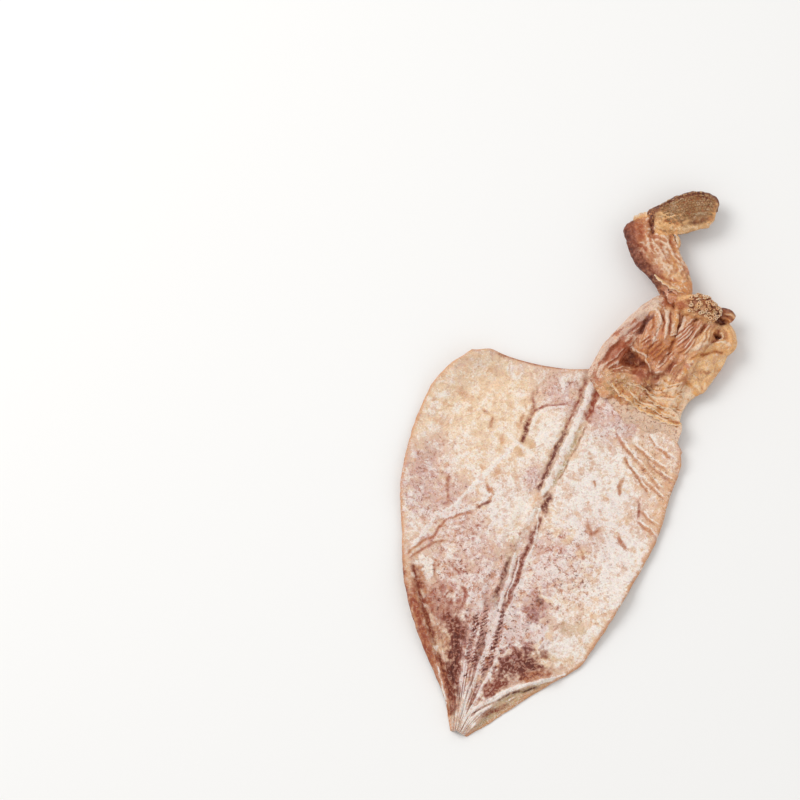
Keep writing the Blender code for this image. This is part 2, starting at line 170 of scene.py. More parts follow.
MANTLE_STROKES = {
    "left pen groove": stroke(0.9, -0.2, (-4.4, 96), (-4.2, 86.4), (-4.5, 76.8), (-4.9, 66),
        blood=1, amber=0.4, umber=0.25),
    "left pen groove, dark stretch": stroke(1.2, -0.2, (-4.8, 68), (-5.6, 57.3), (-5.9, 47.7), (-5.8, 38.2),
        (-6.3, 30.5), umber=0.85, blood=1),
    "right pen stripe": stroke(1.4, -0.15, (2, 72.9), (1.8, 64.4), (1.5, 55.8), (0.8, 46), (0, 35.1),
        olive=1),
    "line along the stripe": stroke(0.5, -0.2, (4, 72), (3.7, 61), (2.8, 53), (1.6, 41),
        umber=0.6, amber=0.5),
    "pen band": stroke(2.1, 0, (-0.8, 97.3), (-0.5, 88), (-0.9, 78.3), (-1.3, 66.5), (-1.8, 54.6),
        (-2.4, 42.8), (-2.9, 31), bloom=0.75),
    "right pen groove": stroke(1.7, -0.2, (4.6, 97), (3.7, 90.2), (3.6, 82.9), (3.4, 75),
        bloom=-1, mauve=-0.8, blood=1.5, amber=0.5),
    "line in the pen band": stroke(0.35, -0.1, (-2.6, 90), (-2.9, 72), (-3.6, 54), (-4.3, 38), umber=0.4),
    "lower pen band": stroke(2.2, 0.1, (-11.3, 22.8), (-10.5, 9.1), (-9.3, 0.3), (-7.7, -9.6),
        olive=0.8, bloom=0.15),
    "dark row left of the rib": stroke(1.1, -0.25, (-7.1, -8.2), (-6.8, -16.2), (-6.4, -24.3), (-6.3, -30),
        umber=0.7, blood=0.6, olive=0.6),
    "dark row right of the rib": stroke(1.3, -0.25, (0.8, 19), (-0.4, 11.8), (-0.4, 0.2), (-0.3, -11.4),
        (0.5, -19.3), (0.7, -28.5), (0.7, -35.5), blood=1, umber=0.5),
    "lower pen line": stroke(0.75, 0.35, (-5.4, -4), (-4.7, -13.1), (-3.9, -22.1), (-3.1, -30),
        (-1.5, -38.7), (-1.7, -48.1), (-1.7, -59.7), (-2.2, -66.9), (-1.2, -86), bloom=1),
    "line beside the lower pen line": stroke(0.4, -0.25, (-3.4, -6), (-2.8, -14), (-2, -23), (-1.2, -31),
        (0.2, -38.7), (0, -47), umber=0.7),
    "second lower pen line": stroke(0.45, 0.25, (-2.2, -6), (-1.8, -14), (-1.2, -23), (-0.5, -31),
        bloom=0.9),
    "pale line right of it": stroke(0.6, 0.3, (-2.4, 22.7), (0.9, 6.4), (1.7, -7.3), (2.4, -23.3),
        (2.3, -35), (2.5, -41.8), bloom=1),
    "maroon stripe by the roll": stroke(3.4, 0, (-24, -48.5), (-19.1, -54.8), (-15.4, -64.8),
        (-12.3, -76.3), (-9.8, -83), bloom=-1, blood=1.6, umber=0.85),
    "brown end of the stripe": stroke(2.6, 0, (-11, -80), (-8, -88), (-3.6, -95),
        bloom=-0.5, blood=0.8, umber=0.25),
    "lilac left of the rows": stroke(1.7, 0, (-15.4, -43), (-11.6, -52), (-8.9, -66), (-4, -85.4),
        mauve=0.8, bloom=0.6),
    "tick row 1": stroke(1.1, -0.2, (-12.4, -41.8), (-10.6, -50.5), (-9.4, -57.1), (-7.4, -68),
        umber=1.5, blood=0.9, ticks=2),
    "tick row 2": stroke(1.1, -0.2, (-8.6, -37), (-6.8, -49), (-6, -55.7), (-4.6, -70),
        umber=1.5, blood=0.8, ticks=1.8),
    "tick row 3": stroke(1.1, -0.15, (-0.2, -36), (0.4, -41.5), (1.8, -52.4), (2.6, -60.3), (2.3, -69.9),
        umber=1.3, blood=0.8, ticks=2.1),
    "tick row 4": stroke(0.8, -0.15, (-0.6, -62), (1, -69), (2.3, -73.3), (1.7, -79), umber=1, ticks=1.8),
    "pale ridge, left": stroke(0.7, 0.3, (-8.4, -66), (-6.7, -78.3), (-1.6, -87.7), (1, -95), bloom=1),
    "pale ridge, right": stroke(0.7, 0.3, (4.2, -47), (5.6, -58), (5, -68), (2.6, -92), bloom=1),
    "red vein": stroke(1.1, -0.1, (-28, 80), (-25.3, 74.4), (-24.1, 70), (-24.5, 65), (-23.7, 57),
        blood=0.8, amber=0.3),
    "red vein's dark end": stroke(1, -0.15, (-24.4, 65), (-23.9, 58), (-23.2, 51.6), umber=0.65, blood=0.9),
    "red vein's branch": stroke(0.7, -0.1, (-23.4, 71), (-19.6, 75), (-12.9, 78.2), (-8.5, 80.5),
        blood=0.8, mauve=0.7),
    "pale arch beside the vein": stroke(0.7, 0.15, (-21.6, 57), (-20.9, 70.2), (-16, 75.4), (-8.8, 79),
        bloom=0.9),
    "thin pale line": stroke(0.4, 0.2, (-32.2, 54.4), (-26.6, 52.2), (-21.1, 50), bloom=1),
    "long pale fold": stroke(0.8, 0.25, (-56, -22), (-52.1, -7), (-48.7, 1), (-44, 8.4), (-38.4, 22.8),
        (-31.3, 39), (-25.7, 50.4), bloom=1),
    "pale fold's branch": stroke(0.7, 0.2, (-48.7, 1), (-40.5, 5.8), (-33.4, 11.4), bloom=1),
    "long red crease": stroke(0.6, -0.15, (-57, -26), (-53.1, -17.8), (-47.7, -10.8), (-46.5, -4.9),
        (-44.6, 0.3), (-40.2, 3.8), (-34, 9), blood=0.5, amber=0.9),
    "crease's dark end": stroke(0.8, -0.15, (-32.4, 11.6), (-29.5, 14.6), (-27.5, 17.2),
        umber=0.4, blood=0.8),
    "crease's orange end": stroke(0.9, -0.1, (-27.5, 17.2), (-27.4, 20.9), (-29.6, 24.6), amber=0.9),
    "crimson dashes": stroke(0.8, -0.1, (-51.6, 22), (-49.8, 16.6), (-48.3, 10.4), (-47.8, 6.3),
        blood=0.7, mauve=0.5, ticks=4.6),
    "short red crease": stroke(0.7, -0.15, (-54.9, -27.8), (-51.1, -20.5), (-45.9, -13.8), (-40, -11),
        blood=0.7, amber=0.6),
    "red curl": stroke(0.8, -0.15, (-28.2, -33.8), (-30.5, -39.4), (-26.5, -41.3), (-22.4, -37.4),
        blood=0.8),
    "red squiggle": stroke(0.8, -0.1, (-25.9, 6.8), (-28, 3), (-29.4, -1.5), (-28, -5.6),
        blood=0.7, ticks=4.2),
    "red squiggle, lower": stroke(0.7, -0.15, (-37, -20), (-33, -23), (-28, -24), (-24, -22), blood=0.8),
    "red squiggle, left": stroke(0.7, -0.15, (-42, -25), (-39, -31), (-35, -34), (-31, -40), blood=0.7),
    "red squiggle, inner": stroke(0.8, -0.15, (-26, -30), (-22, -33), (-20, -38), (-22, -43),
        blood=0.9, amber=0.3),
    "roll's band": stroke(1.5, 0.3, (-57, -27), (-54, -33.5), (-50.6, -40), (-47, -46),
        amber=-0.6, peach=0.8, olive=0.35),
    "rust on the roll": stroke(2.8, 0.3, (-47, -45.5), (-43.4, -50.5), (-38, -57.5), (-31.6, -66),
        (-25, -74.4), bloom=-1, amber=1, blood=0.85, umber=0.1),
    "orange line on the roll": stroke(0.8, 0.2, (-45, -51.5), (-38.6, -60), (-30, -71.6), (-20, -83.4),
        (-10, -93.6), blood=-0.8, umber=-1, amber=0.6, peach=0.8),
    "roll's outer line": stroke(1.1, -0.2, (-60.8, -26.9), (-56.8, -34), (-51.9, -42.9), (-43.9, -55),
        (-36.6, -63.9), (-26.3, -76.2), (-15.5, -87.2), (-5, -97.1), blood=0.9, umber=0.35, amber=0.5),
    "crease inside the roll": stroke(1.3, -0.4, (-51, -30.9), (-43.9, -42.2), (-35.6, -52.9), (-29, -61.6),
        (-21.5, -71), (-13, -82), (-7, -91), blood=1.2, amber=0.8, umber=0.4),
    "orange beside the crease": stroke(1.6, 0, (-49, -29.5), (-42, -39), (-34.4, -49),
        amber=0.8, blood=0.3),
    "pale knob": stroke(2.4, 0.3, (-26.8, -63.4), (-22.6, -68.2),
        umber=-1, blood=-1, amber=-1, peach=1.3, bloom=0.8),
    "pale streak at the tail": stroke(0.9, 0.4, (-21.6, -75.5), (-15.7, -83.2), (-11.4, -89.4), (-6.4, -96),
        bloom=1),
    "upper fin line": stroke(0.7, 0.4, (3.2, -93.4), (9.6, -83.6), (16.4, -75.4), (24, -69), (33.2, -63.8),
        (42, -55), bloom=1),
    "dark fin crease": stroke(0.5, -0.45, (4.6, -94), (11.4, -84.4), (20, -75), (31, -67),
        umber=1, blood=0.4),
    "second fin line": stroke(0.5, 0.3, (5.2, -95.6), (13.4, -85.4), (22.6, -75.6), (33, -68), bloom=0.8),
    "brown on the fin strip": stroke(1.3, -0.1, (8.8, -93), (13.9, -87.4), (18.6, -81.4),
        blood=0.9, umber=0.3),
    "left collar seam": stroke(0.6, -0.2, (-52, 91.5), (-41.3, 93), (-28, 94.2), (-14, 97.6), blood=0.7),
    "right crease": stroke(0.7, -0.2, (43.6, 44), (45.5, 40), (46.8, 36), blood=0.9),
}
RUST_FLECKS = [stroke(0.9, -0.1, *line, amber=0.75, blood=0.5) for line in (
    ((39.8, 23.6), (43, 20), (47, 17.2)), ((25.1, 9.1), (28.6, 4.2)), ((18.4, 47.4), (20.4, 42.4)),
    ((23.6, 23.8), (25, 20.4), (27.6, 18.7), (30, 23)), ((-53, 22.5), (-50, 15), (-46.8, 8)),
    ((-49, 62), (-44.6, 60.6)), ((-42.8, 60), (-41, 55)), ((31.4, 53), (32, 48), (33.7, 44)),
    ((-33, 26), (-29, 21)), ((-28, 66), (-27.6, 61)),
)]
# Thin rust creases of the right shoulder, each with a pale line beside it, a painted highlight along the
# crease laid as bloom
SHOULDER_CREASES = paired((
    ((20.2, 74.5), (26, 70), (32.4, 65.9), (42.6, 60), (52.3, 53.5)),
    ((28.4, 63.8), (36.5, 58.4), (44.7, 54.6), (54.6, 50)),
    ((31, 72.2), (39.4, 68.6), (51, 64.8)),
    ((39.8, 67), (49, 62), (56, 59.5)),
    ((32.4, 60.6), (40, 55), (47, 50)),
    ((36, 79), (44, 74), (52, 71)),
    ((48.2, 33.2), (54, 30.8), (59.4, 28.4)),
    ((47, 39), (52, 36.4), (57, 34.6)),
), (0.6, -0.1, {"amber": 1.0, "blood": 0.35}), (0.8, 1.2), (0.45, 0.1, {"bloom": 0.9}))
MANTLE_PATCHES = {
    "warm left shoulder": patch((-46, 64), (38, 28), -15, peach=0.95),
    "golden upper left": patch((-48, 78), (22, 9), 0, peach=0.8, amber=0.1),
    "right shoulder": patch((46, 62), (19, 11), -35, peach=0.9, amber=0.35, fleck=0.6),
    "right corner": patch((57, 44), (5, 15), 0, amber=0.6, peach=0.9),
    "collar blush": patch((-13, 84), (13, 9), 0, mauve=0.6, fleck=0.5),
    "right of the pen top": patch((12, 80), (11, 10), 0, mauve=0.65, fleck=0.6),
    "pink by the shoulder": patch((24, 76), (8, 9), -30, mauve=0.5, blood=0.15),
    "chalky by the pen": patch((-14, 60), (6, 12), -10, bloom=0.6),
    "chalky right": patch((20, 48), (20, 24), 10, bloom=0.6),
    "chalky right edge": patch((46, 6), (12, 24), 0, bloom=0.55),
    "cream field by the pen": patch((-11.5, 15), (4.2, 11), -8, bloom=0.5, peach=0.6, mauve=-0.7),
    "chalky middle": patch((-22, 20), (16, 16), 0, bloom=0.35),
    "olive specks": patch((17, 52), (14, 18), 0, olive=0.3),
    "pink left": patch((-42, 2), (30, 18), -24, mauve=0.55, fleck=0.45),
    "pink left edge": patch((-64, 20), (9, 18), 0, mauve=0.6, fleck=0.4),
    "mauve by the pen": patch((-12, 38), (5, 7), 0, mauve=0.9, fleck=0.7),
    "dark spot by the pen": patch((0.0, 26), (2.0, 5.6), 0, umber=0.8, blood=1),
    "olive window": patch((-17.8, 53.5), (3.6, 2.6), -30, olive=0.7, amber=0.4),
    "amber window": patch((-23, 47), (3, 2.4), 0, amber=0.4, olive=0.4),
    "amber fleck left": patch((-33.8, 50.5), (1.6, 2.4), 0, amber=0.8),
    "amber fleck, upper": patch((-60, 66), (4.5, 2), -30, amber=0.6),
    "amber fleck, middle": patch((-29, 33), (2, 4.5), 20, amber=0.5),
    "grey-white right": patch((30, 20), (16, 20), 0, mauve=0.25, bloom=0.2),
    "grey window": patch((36.0, -33), (7, 5), 20, olive=0.5),
    "mauve middle": patch((-18, -32), (18, 14), -35, mauve=0.6, fleck=0.8, bloom=0.3),
    "pink above the blotch": patch((-31, -46), (13, 9), -38, mauve=0.3, amber=0.3, blood=0.5, fleck=0.9),
    "rosy above that": patch((-31, -33), (8, 5), -30, mauve=0.4, amber=0.25, fleck=0.9),
    "darker tail": patch((-8, -60), (28, 13), -70, mauve=0.35, amber=0.15, fleck=0.8),
    "purple end of the stripe": patch((-12.6, -57), (8.5, 3.6), -69,
        mauve=0.9, blood=0.55, umber=0.45, fleck=1),
    "blotch left of the rows": patch((-19, -52.5), (7.5, 6.5), -35, blood=0.85, umber=0.2, fleck=0.7),
    "knot beside the pen": patch((-7, -31.5), (4.6, 5.4), 0, olive=0.6, umber=0.35, fleck=1),
    "mauve by the roll": patch((-38, -28), (10, 16), -35, mauve=0.35, fleck=0.6),
    "pink right": patch((16, -4), (18, 18), 0, mauve=0.6, fleck=0.7),
    "maroon specks right": patch((14, -28), (6, 9), 0, fleck=1, mauve=0.7, blood=0.3),
    "specks over the right edge": patch((34, -8), (16, 22), 0, fleck=0.45),
    "speckled tail": patch((0, -50), (12, 32), 0, mauve=0.85, bloom=0.45, fleck=0.9),
    "lilac right of the tail": patch((13, -42), (14, 12), -20, mauve=0.9, bloom=0.3, fleck=0.7),
    "orange left rim": patch((-47, -45), (19, 5), -50, amber=0.85, blood=0.4),
    "rosy lower middle": patch((-2, -20), (18, 16), 0, mauve=0.3, fleck=0.6),
    "orange left rim, lower": patch((-26, -72), (24, 5), -50, amber=0.85, blood=0.5),
    "rosy below the blotch": patch((-25, -62), (9, 5), -50, amber=0.5, blood=0.3, peach=0.6),
    "red-brown right of the tail": patch((18.5, -58.5), (12.5, 8), 30, blood=1.2, umber=0.8, bloom=-1),
    "brown beside the lip": patch((9.8, -76.5), (9, 3.6), 62, blood=1.2, umber=0.5, bloom=-1),
    "yellow beside the blotch": patch((29, -51), (6, 3.6), 40, olive=0.5, peach=0.7),
    "purple spots right of the rows": patch((15, -33), (5.5, 5), 0,
        mauve=0.8, blood=0.4, umber=0.2, fleck=1),
    "brown spot above them": patch((15.4, -24.6), (1.8, 3), 10, olive=0.5, umber=0.5),
    "rosy between the rows": patch((6, -44), (6, 9), 0, mauve=0.6, fleck=1, blood=0.15),
    "pale by the rim": patch((-45, -29), (8, 6), -40, bloom=0.8, peach=0.5, mauve=-0.8, blood=-0.7),
    "rust over the lip": patch((27, -62.5), (9, 3.4), 30, amber=0.8, blood=0.5),
    "chalk lower right": patch((33, -44), (12, 6), 20, bloom=0.5),
}

HEAD_STROKES = {
    "neck band": stroke(2.2, 0.8, (18.5, 147), (13.4, 140.3), (8.4, 132), (5.2, 123.3), (1.1, 115.4),
        (-3.6, 108), bloom=1, mauve=0.3),
    "thin neck ridge": stroke(0.8, 0.8, (11.2, 129.1), (6.4, 121.5), (1.5, 111.5), (-1.2, 102.8),
        bloom=0.8),
    # Painted shadow: the slit and the mauve band below the neck band darken the skin where the band casts its
    # shade
    "slit under the band": stroke(1.2, -1.3, (17.5, 137), (15.4, 132.4), (14.5, 127.5), (13, 124),
        umber=0.75, mauve=0.8),
    "mauve painted shadow under the band": stroke(2, -0.4, (15.4, 136.5), (12.2, 131.4), (9.2, 127.2), (6.4, 121.2), mauve=1),
    "stub's dark top": stroke(0.9, -0.2, (46.5, 153.5), (50, 154.9), (54, 154.6), (57.8, 152.2), umber=1),
    "stub's ridge": stroke(0.7, 0.6, (50, 151.6), (53.5, 152.2), (57.4, 150.8), bloom=0.7, peach=0.8),
    "stub's trough": stroke(0.6, -0.6, (49.6, 150.4), (53.4, 150.9), (57, 149.6), blood=1, umber=0.5),
    "stub's lower ridge": stroke(0.6, 0.5, (49.8, 149.2), (53.6, 149.5), (57.4, 148.4),
        bloom=0.6, amber=0.5),
    "red slot": stroke(1, -0.9, (6.2, 119), (2.9, 111.9), (1.4, 105), blood=1, umber=0.2),
    "curved rib": stroke(0.8, 1.2, (15.5, 139.5), (20, 136.2), (22, 131.5), (22.8, 126.6), (22.2, 122.7),
        bloom=1),
    "trough inside it": stroke(0.9, -0.9, (16.4, 135), (19.4, 130.5), (19.6, 126), amber=0.8, blood=0.8),
    "trough beside it": stroke(0.6, -0.8, (19.8, 139), (23.6, 134), (24.9, 128), blood=1),
    "second rib": stroke(0.7, 1.2, (19.6, 143), (23.4, 138.4), (26, 132.4), (27.3, 124.5), bloom=1),
    "third trough": stroke(0.6, -0.9, (24.9, 141.4), (27.1, 134.7), (28.9, 127.4), blood=1),
    "third rib": stroke(1.2, 0.7, (26.5, 143.5), (29.3, 138.3), (29.9, 132.4), amber=0.6, bloom=0.2),
    "fourth trough": stroke(0.6, -1, (29.3, 143.5), (31.5, 138.6), (32, 133.3), blood=1, umber=0.3),
    "fourth rib": stroke(0.7, 0.8, (32.2, 143), (33.4, 137.5), (33, 132), bloom=0.8),
    "eye ridge": stroke(0.8, 1.5, (11.5, 118.6), (16.5, 116), (20.8, 114.6), (24.2, 111.4), (27.4, 106.4),
        bloom=0.75),
    "ridge over the second hollow": stroke(0.8, 0.9, (27.3, 108.1), (31, 109.6), (34, 109.9), (37.4, 115),
        bloom=0.5, mauve=0.5),
    "red ridge": stroke(0.8, 0.9, (35.2, 109.5), (37.6, 114.5), (39.6, 119.3), blood=0.8, amber=0.4),
    "smooth shoulder's crease": stroke(0.8, -1.2, (43.6, 142), (43.2, 136), (41.6, 131),
        blood=1, umber=0.3),
    "crease right of it": stroke(0.8, -1, (51.2, 143.5), (51.6, 138), (50, 133.5), blood=0.9, umber=0.3),
    "lip ridge": stroke(1.1, 0.8, (42, 124.6), (46.6, 130), (50.7, 134.6), (55.4, 137), (60.6, 136.4),
        bloom=1, peach=1),
    "second lip ridge": stroke(0.8, 0.6, (38.2, 122.1), (43, 127.6), (48.6, 132.6), bloom=0.9, peach=0.8),
    "trough below the ribs": stroke(1.5, -0.8, (18.6, 112.1), (23.9, 109.2), (29.2, 106.6), (33, 109),
        (36, 115.5), blood=1, umber=0.45),
    "crumple under the trough": stroke(0.7, 0.6, (23, 106.6), (27.6, 103.4), (31.6, 104.6), bloom=0.7),
    "crumple below that": stroke(0.6, 0.5, (25.4, 104), (29.6, 101.4), (33.6, 103), peach=0.8, bloom=0.4),
    "crease under the lip": stroke(0.8, -1, (43.6, 120.6), (48.6, 126.4), (53.2, 130.8), (58, 132),
        amber=1, blood=0.5),
    "dark trough by the stub": stroke(1.3, -1.4, (45.4, 149), (49.6, 147.6), (52.6, 148.4),
        umber=1, blood=0.6),
    "trough by the sucker arm": stroke(1, -1.2, (29, 151), (34.5, 146.5), (41, 145.5), (46, 147),
        blood=1, umber=0.4),
    "flap's left edge": stroke(0.8, 0.4, (41, 117), (47.9, 109.6), (54.8, 107.2), amber=0.9),
    "flap's right edge": stroke(1, 0.3, (57, 109.4), (58.6, 117.1), (59.4, 125), blood=0.8, amber=1),
}
# Where the skin between the hollows and the collar is drawn up into thin pale pleats
FRILL_LINES = paired((
    ((9.5, 96.2), (15.3, 93), (23.1, 91.2), (30.9, 89.6), (38.4, 88.8), (45.9, 88), (51, 88.8)),
    ((20, 94.6), (27.6, 92.4), (33.0, 93), (39.8, 91.4), (47, 91.2)),
    ((26, 96.6), (32, 95.2), (38.6, 94.0), (42.5, 95.3), (47.3, 96.4)),
    ((17, 98.6), (25, 98.9), (31, 97.6), (37, 98.8), (44, 100.6)),
    ((24, 103), (31, 100.4), (37, 103), (43, 105.6)),
    ((33, 106.8), (38, 105), (44, 109.6)),
    ((41, 96), (42.6, 101), (45.8, 105.6)),
    ((46, 92), (47.6, 98), (48.8, 104)),
), (0.65, 0.7, {"bloom": 0.7, "peach": 1.0}), (0.2, 1.1), (0.6, -0.3, {"amber": 0.6, "blood": 0.15}))
# The frills end here; the skin below this line is as white and rosy as the mantle that it grew on
FRILLS_END = ((0, 104), (4.7, 100.9), (9.5, 95.3), (15.3, 91.9), (23.1, 90.2), (30.9, 88.5), (38.4, 87.6),
              (45.9, 86.7), (52.3, 88.7), (60, 90))
HEAD_FANS = (
    RidgeFan(((29.4, 127.5), (33.0, 131.4), (35.4, 136.4), (37.4, 144)),
             ((38.2, 120.6), (40.6, 125.2), (42.0, 130.6), (43, 140)), 10, 0.5, 0.6, 1.0),
    RidgeFan(((44.6, 126), (45.8, 132), (45.2, 142.5)),
             ((48.4, 131), (49.8, 135.4), (49.4, 143)), 4, 0.5, 0.3, 0.8),
    RidgeFan(((15.5, 120.5), (17.5, 122.5), (19.5, 124.5)),
             ((28.6, 111), (31.6, 117.5), (35.5, 124.0)), 11, 0.5, 0.45, 1.0),
    RidgeFan(((2.5, 104.5), (6, 108.5), (9.0, 116.5)),
             ((6.5, 100.5), (11.0, 104.0), (16.6, 106.0)), 5, 0.5, 0.4, 1.0),
    RidgeFan(((42.5, 119.9), (47.6, 115.5), (54.1, 109.8)),
             ((57.9, 124.9), (57.3, 117.4), (54.9, 110.1)), 6, 0.5, 0.35, 0.55),
)
HEAD_PATCHES = {
    "eye hollow": patch((15.2, 112.2), (5.0, 3.6), -25, blood=1, umber=0.5),
    "depth of the eye hollow": patch((14.2, 113.6), (2.4, 1.7), -25, umber=1),
    "chalk on the neck band": patch((11.6, 136.6), (7.5, 2.0), 56, amber=-1, blood=-0.9, bloom=1.2),
    "below the eye": patch((20, 107), (9, 4.2), -35, blood=1, umber=0.25),
    "second hollow": patch((29.3, 104.4), (4.2, 3.0), 10, blood=0.7, umber=0.1),
    "left of the eye": patch((8.5, 113.5), (5.0, 6.5), 20, blood=1),
    "orange middle": patch((24.5, 118.6), (9, 5), 25, amber=1, blood=0.55),
    "orange right": patch((33.0, 121.5), (6, 5), 30, amber=0.5, blood=0.3),
    "pink fan": patch((37.4, 127.6), (8, 5), 40, bloom=0.35),
    "olive skin": patch((13.5, 96.8), (11.5, 7.0), -12, olive=0.9, fleck=0.6),
    "amber spot": patch((15.3, 92.4), (2.2, 1.8), 0, amber=1, blood=0.6),
    "pale field": patch((39, 101), (11, 10), 20, bloom=0.4, peach=1, blood=-0.8, umber=-0.9),
    "collar frills": patch((34, 92), (17, 5), 0, peach=1, bloom=0.3),
    "orange spot in the frills": patch((36, 92.5), (3.2, 1.2), -20, amber=0.9, blood=0.4),
    "orange spot at their end": patch((46.5, 88.6), (3.6, 1.0), 0, amber=1, blood=0.5),
    "dark spots below the hollow": patch((28.6, 99.6), (2.0, 3.0), 0, umber=0.7, blood=0.5),
    "flap": patch((52.5, 118.5), (8, 11.5), 12, peach=1, amber=0.2, bloom=-0.3, blood=-0.8, umber=-0.8),
    "right shoulder fold": patch((47.3, 135.5), (6.0, 8), 0, peach=0.9, amber=0.3),
    "lip": patch((57.5, 138), (7, 9), 0, amber=0.55, peach=0.9),
    "arm root": patch((18, 152), (6, 2.6), 0, blood=0.9, umber=0.9),
    "beside the arm root": patch((25.5, 147), (6, 3.0), 0, blood=0.9, amber=0.4),
    "between the suckers": patch((41.5, 151), (7.5, 4.5), 0, amber=1, blood=0.7, umber=0.5),
    "stub's dark side": patch((48.5, 150), (4.0, 3.4), 0, umber=0.95, blood=0.5),
    "stub's pale end": patch((55.2, 151.6), (2.4, 2.4), 0, amber=0.8, peach=0.6, bloom=0.3),
}
LIP_HOLE = patch((53.0, 139.6), (1.9, 1.6), 0, umber=1, blood=1)
LIP_HOLE_DEPTH = 3.4

ARM_STROKES = {
    "slit beside the club": stroke(1.4, -1.8, (-2.4, 187.5), (-1.4, 183.5), (0, 180.7), (1.4, 177.6),
        umber=1, blood=1),
    "orange pocket": stroke(1.5, -0.8, (9.7, 181.2), (12.2, 178.3), (14.6, 175.4), amber=1, blood=1),
    "pale lug": stroke(1, 0.7, (12, 183.4), (14.2, 181.6), (14.8, 178.8), bloom=0.9, peach=1),
    "squiggle": stroke(0.6, 0.5, (-4, 168.4), (-1.4, 167.4), (-1.8, 164.8), (1.9, 164), bloom=1),
    "second squiggle": stroke(0.6, 0.5, (-0.6, 168.6), (1.9, 166.6), (3.4, 164.2), (6.6, 162.6), bloom=0.9),
    "third squiggle": stroke(0.5, 0.4, (-6, 172), (-3.8, 171), (-2, 172.6), bloom=0.8),
    "red crease": stroke(0.8, -0.5, (-4.4, 170.6), (-1, 170.4), (2, 168), blood=1),
    "second red crease": stroke(0.7, -0.4, (2.6, 161.6), (7.2, 160.4), (11.6, 158.2), blood=0.8),
    "rolled edge's crease": stroke(0.8, -0.5, (-11.4, 184), (-8.1, 175.2), (-4.5, 169.8), (0.5, 165),
        (7.2, 161), umber=0.5, blood=0.6),
    "pale fold at the base": stroke(1.4, 0.8, (8.6, 158.2), (12.9, 156.2), (17.6, 155.4), (22, 154.6),
        (27, 154), bloom=0.5, peach=1),
    "crease over the base": stroke(0.7, -0.5, (12, 158.4), (17, 157.6), (22.4, 157), amber=0.9, blood=0.5),
    "dark line right of the base": stroke(0.7, -0.4, (26, 164.6), (27.4, 161.6), (25.4, 159.2),
        amber=0.8, umber=0.5),
    "brown streak 1": stroke(0.7, -0.25, (-1, 178), (2.6, 173), (7, 168.6), blood=0.8),
    "brown streak 2": stroke(0.6, -0.25, (6, 176), (10, 171), (15.6, 166), blood=0.7),
    "brown streak 3": stroke(0.6, -0.2, (11, 174.6), (16, 169), (20, 164), amber=0.8, blood=0.4),
    "brown streak 4": stroke(0.8, -0.3, (-6.4, 182.6), (-5.4, 178), (-3.6, 174.6), blood=0.9),
}
ARM_FAN = RidgeFan(((15, 158.5), (6, 164), (-2, 172), (-5.6, 181)),
                   ((27.5, 160), (24.5, 166.5), (16, 173), (10, 179.5)), 9, 0.55, 0.25, 0.35)
ARM_PATCHES = {
    "red-brown upper arm": patch((-7, 180), (5.5, 9), 20, blood=0.75, amber=0.4),
    "maroon roll": patch((-10, 175), (3, 9), 30, mauve=0.9, blood=0.5),
    "orange base": patch((20, 162), (8, 5), 0, amber=0.2, peach=1, bloom=0.4),
    "pale base": patch((27, 158.5), (4.5, 4), 0, peach=1, bloom=0.5),
    "rosy middle": patch((8, 170), (11, 9), 0, peach=0.8, mauve=0.1, bloom=0.8),
    "amber join": patch((4.6, 182), (6, 3), 30, amber=0.8, peach=1),
    "top corner": patch((-9, 187), (5, 2.2), 40, amber=0.6, peach=0.9),
}

CLUB_STROKES = {
    "slit at the root": stroke(1.3, -1.8, (-2.6, 189), (-1.6, 184.6), (-0.4, 181.4), (0.6, 179),
        umber=1, blood=1),
    "orange slit": stroke(0.8, -0.7, (4, 187.4), (8, 188.2), (11.6, 189.2), amber=1, blood=0.9),
    "pale roll above it": stroke(1, 0.6, (0.2, 188), (3.6, 190.8), (7.5, 192), (11.5, 192), bloom=0.8),
    "pale roll below it": stroke(1.2, 0.4, (4.4, 184.6), (9, 186.4), (14, 187.6), bloom=0.5, peach=1),
    "dark rim": stroke(1.2, 0.3, (-3.4, 189.6), (0.6, 195.4), (6.8, 203), (13.6, 208), (19, 208.6),
        umber=1, blood=0.7),
    "rim's dark spots": stroke(1.6, 0.2, (13.2, 207.6), (18.2, 207.7), (21.8, 206.6), (24.4, 203.4),
        umber=1, blood=0.5, ticks=3.1),
    "brown spots under the face": stroke(1.1, -0.1, (17.5, 191.6), (21.5, 193.8), (24.8, 196.6), umber=0.8),
    "pale lower edge": stroke(1.1, 0.5, (13.6, 186), (17.4, 189.6), (20.8, 191.4), (25, 193.6),
        (27.4, 196.6), bloom=0.7, peach=1),
}
CLUB_PATCHES = {
    "yellow root": patch((5.5, 187), (8.5, 5.0), 25, amber=0.6, peach=1.3, bloom=0.7, umber=-1, fleck=-1),
    "skin beside the slit": patch((-5.6, 188), (2.4, 3), 0, amber=0.9, blood=0.6),
    "rosy tip": patch((27.6, 200.2), (2.8, 6.5), 0, bloom=0.3, peach=1, amber=0.9),
}

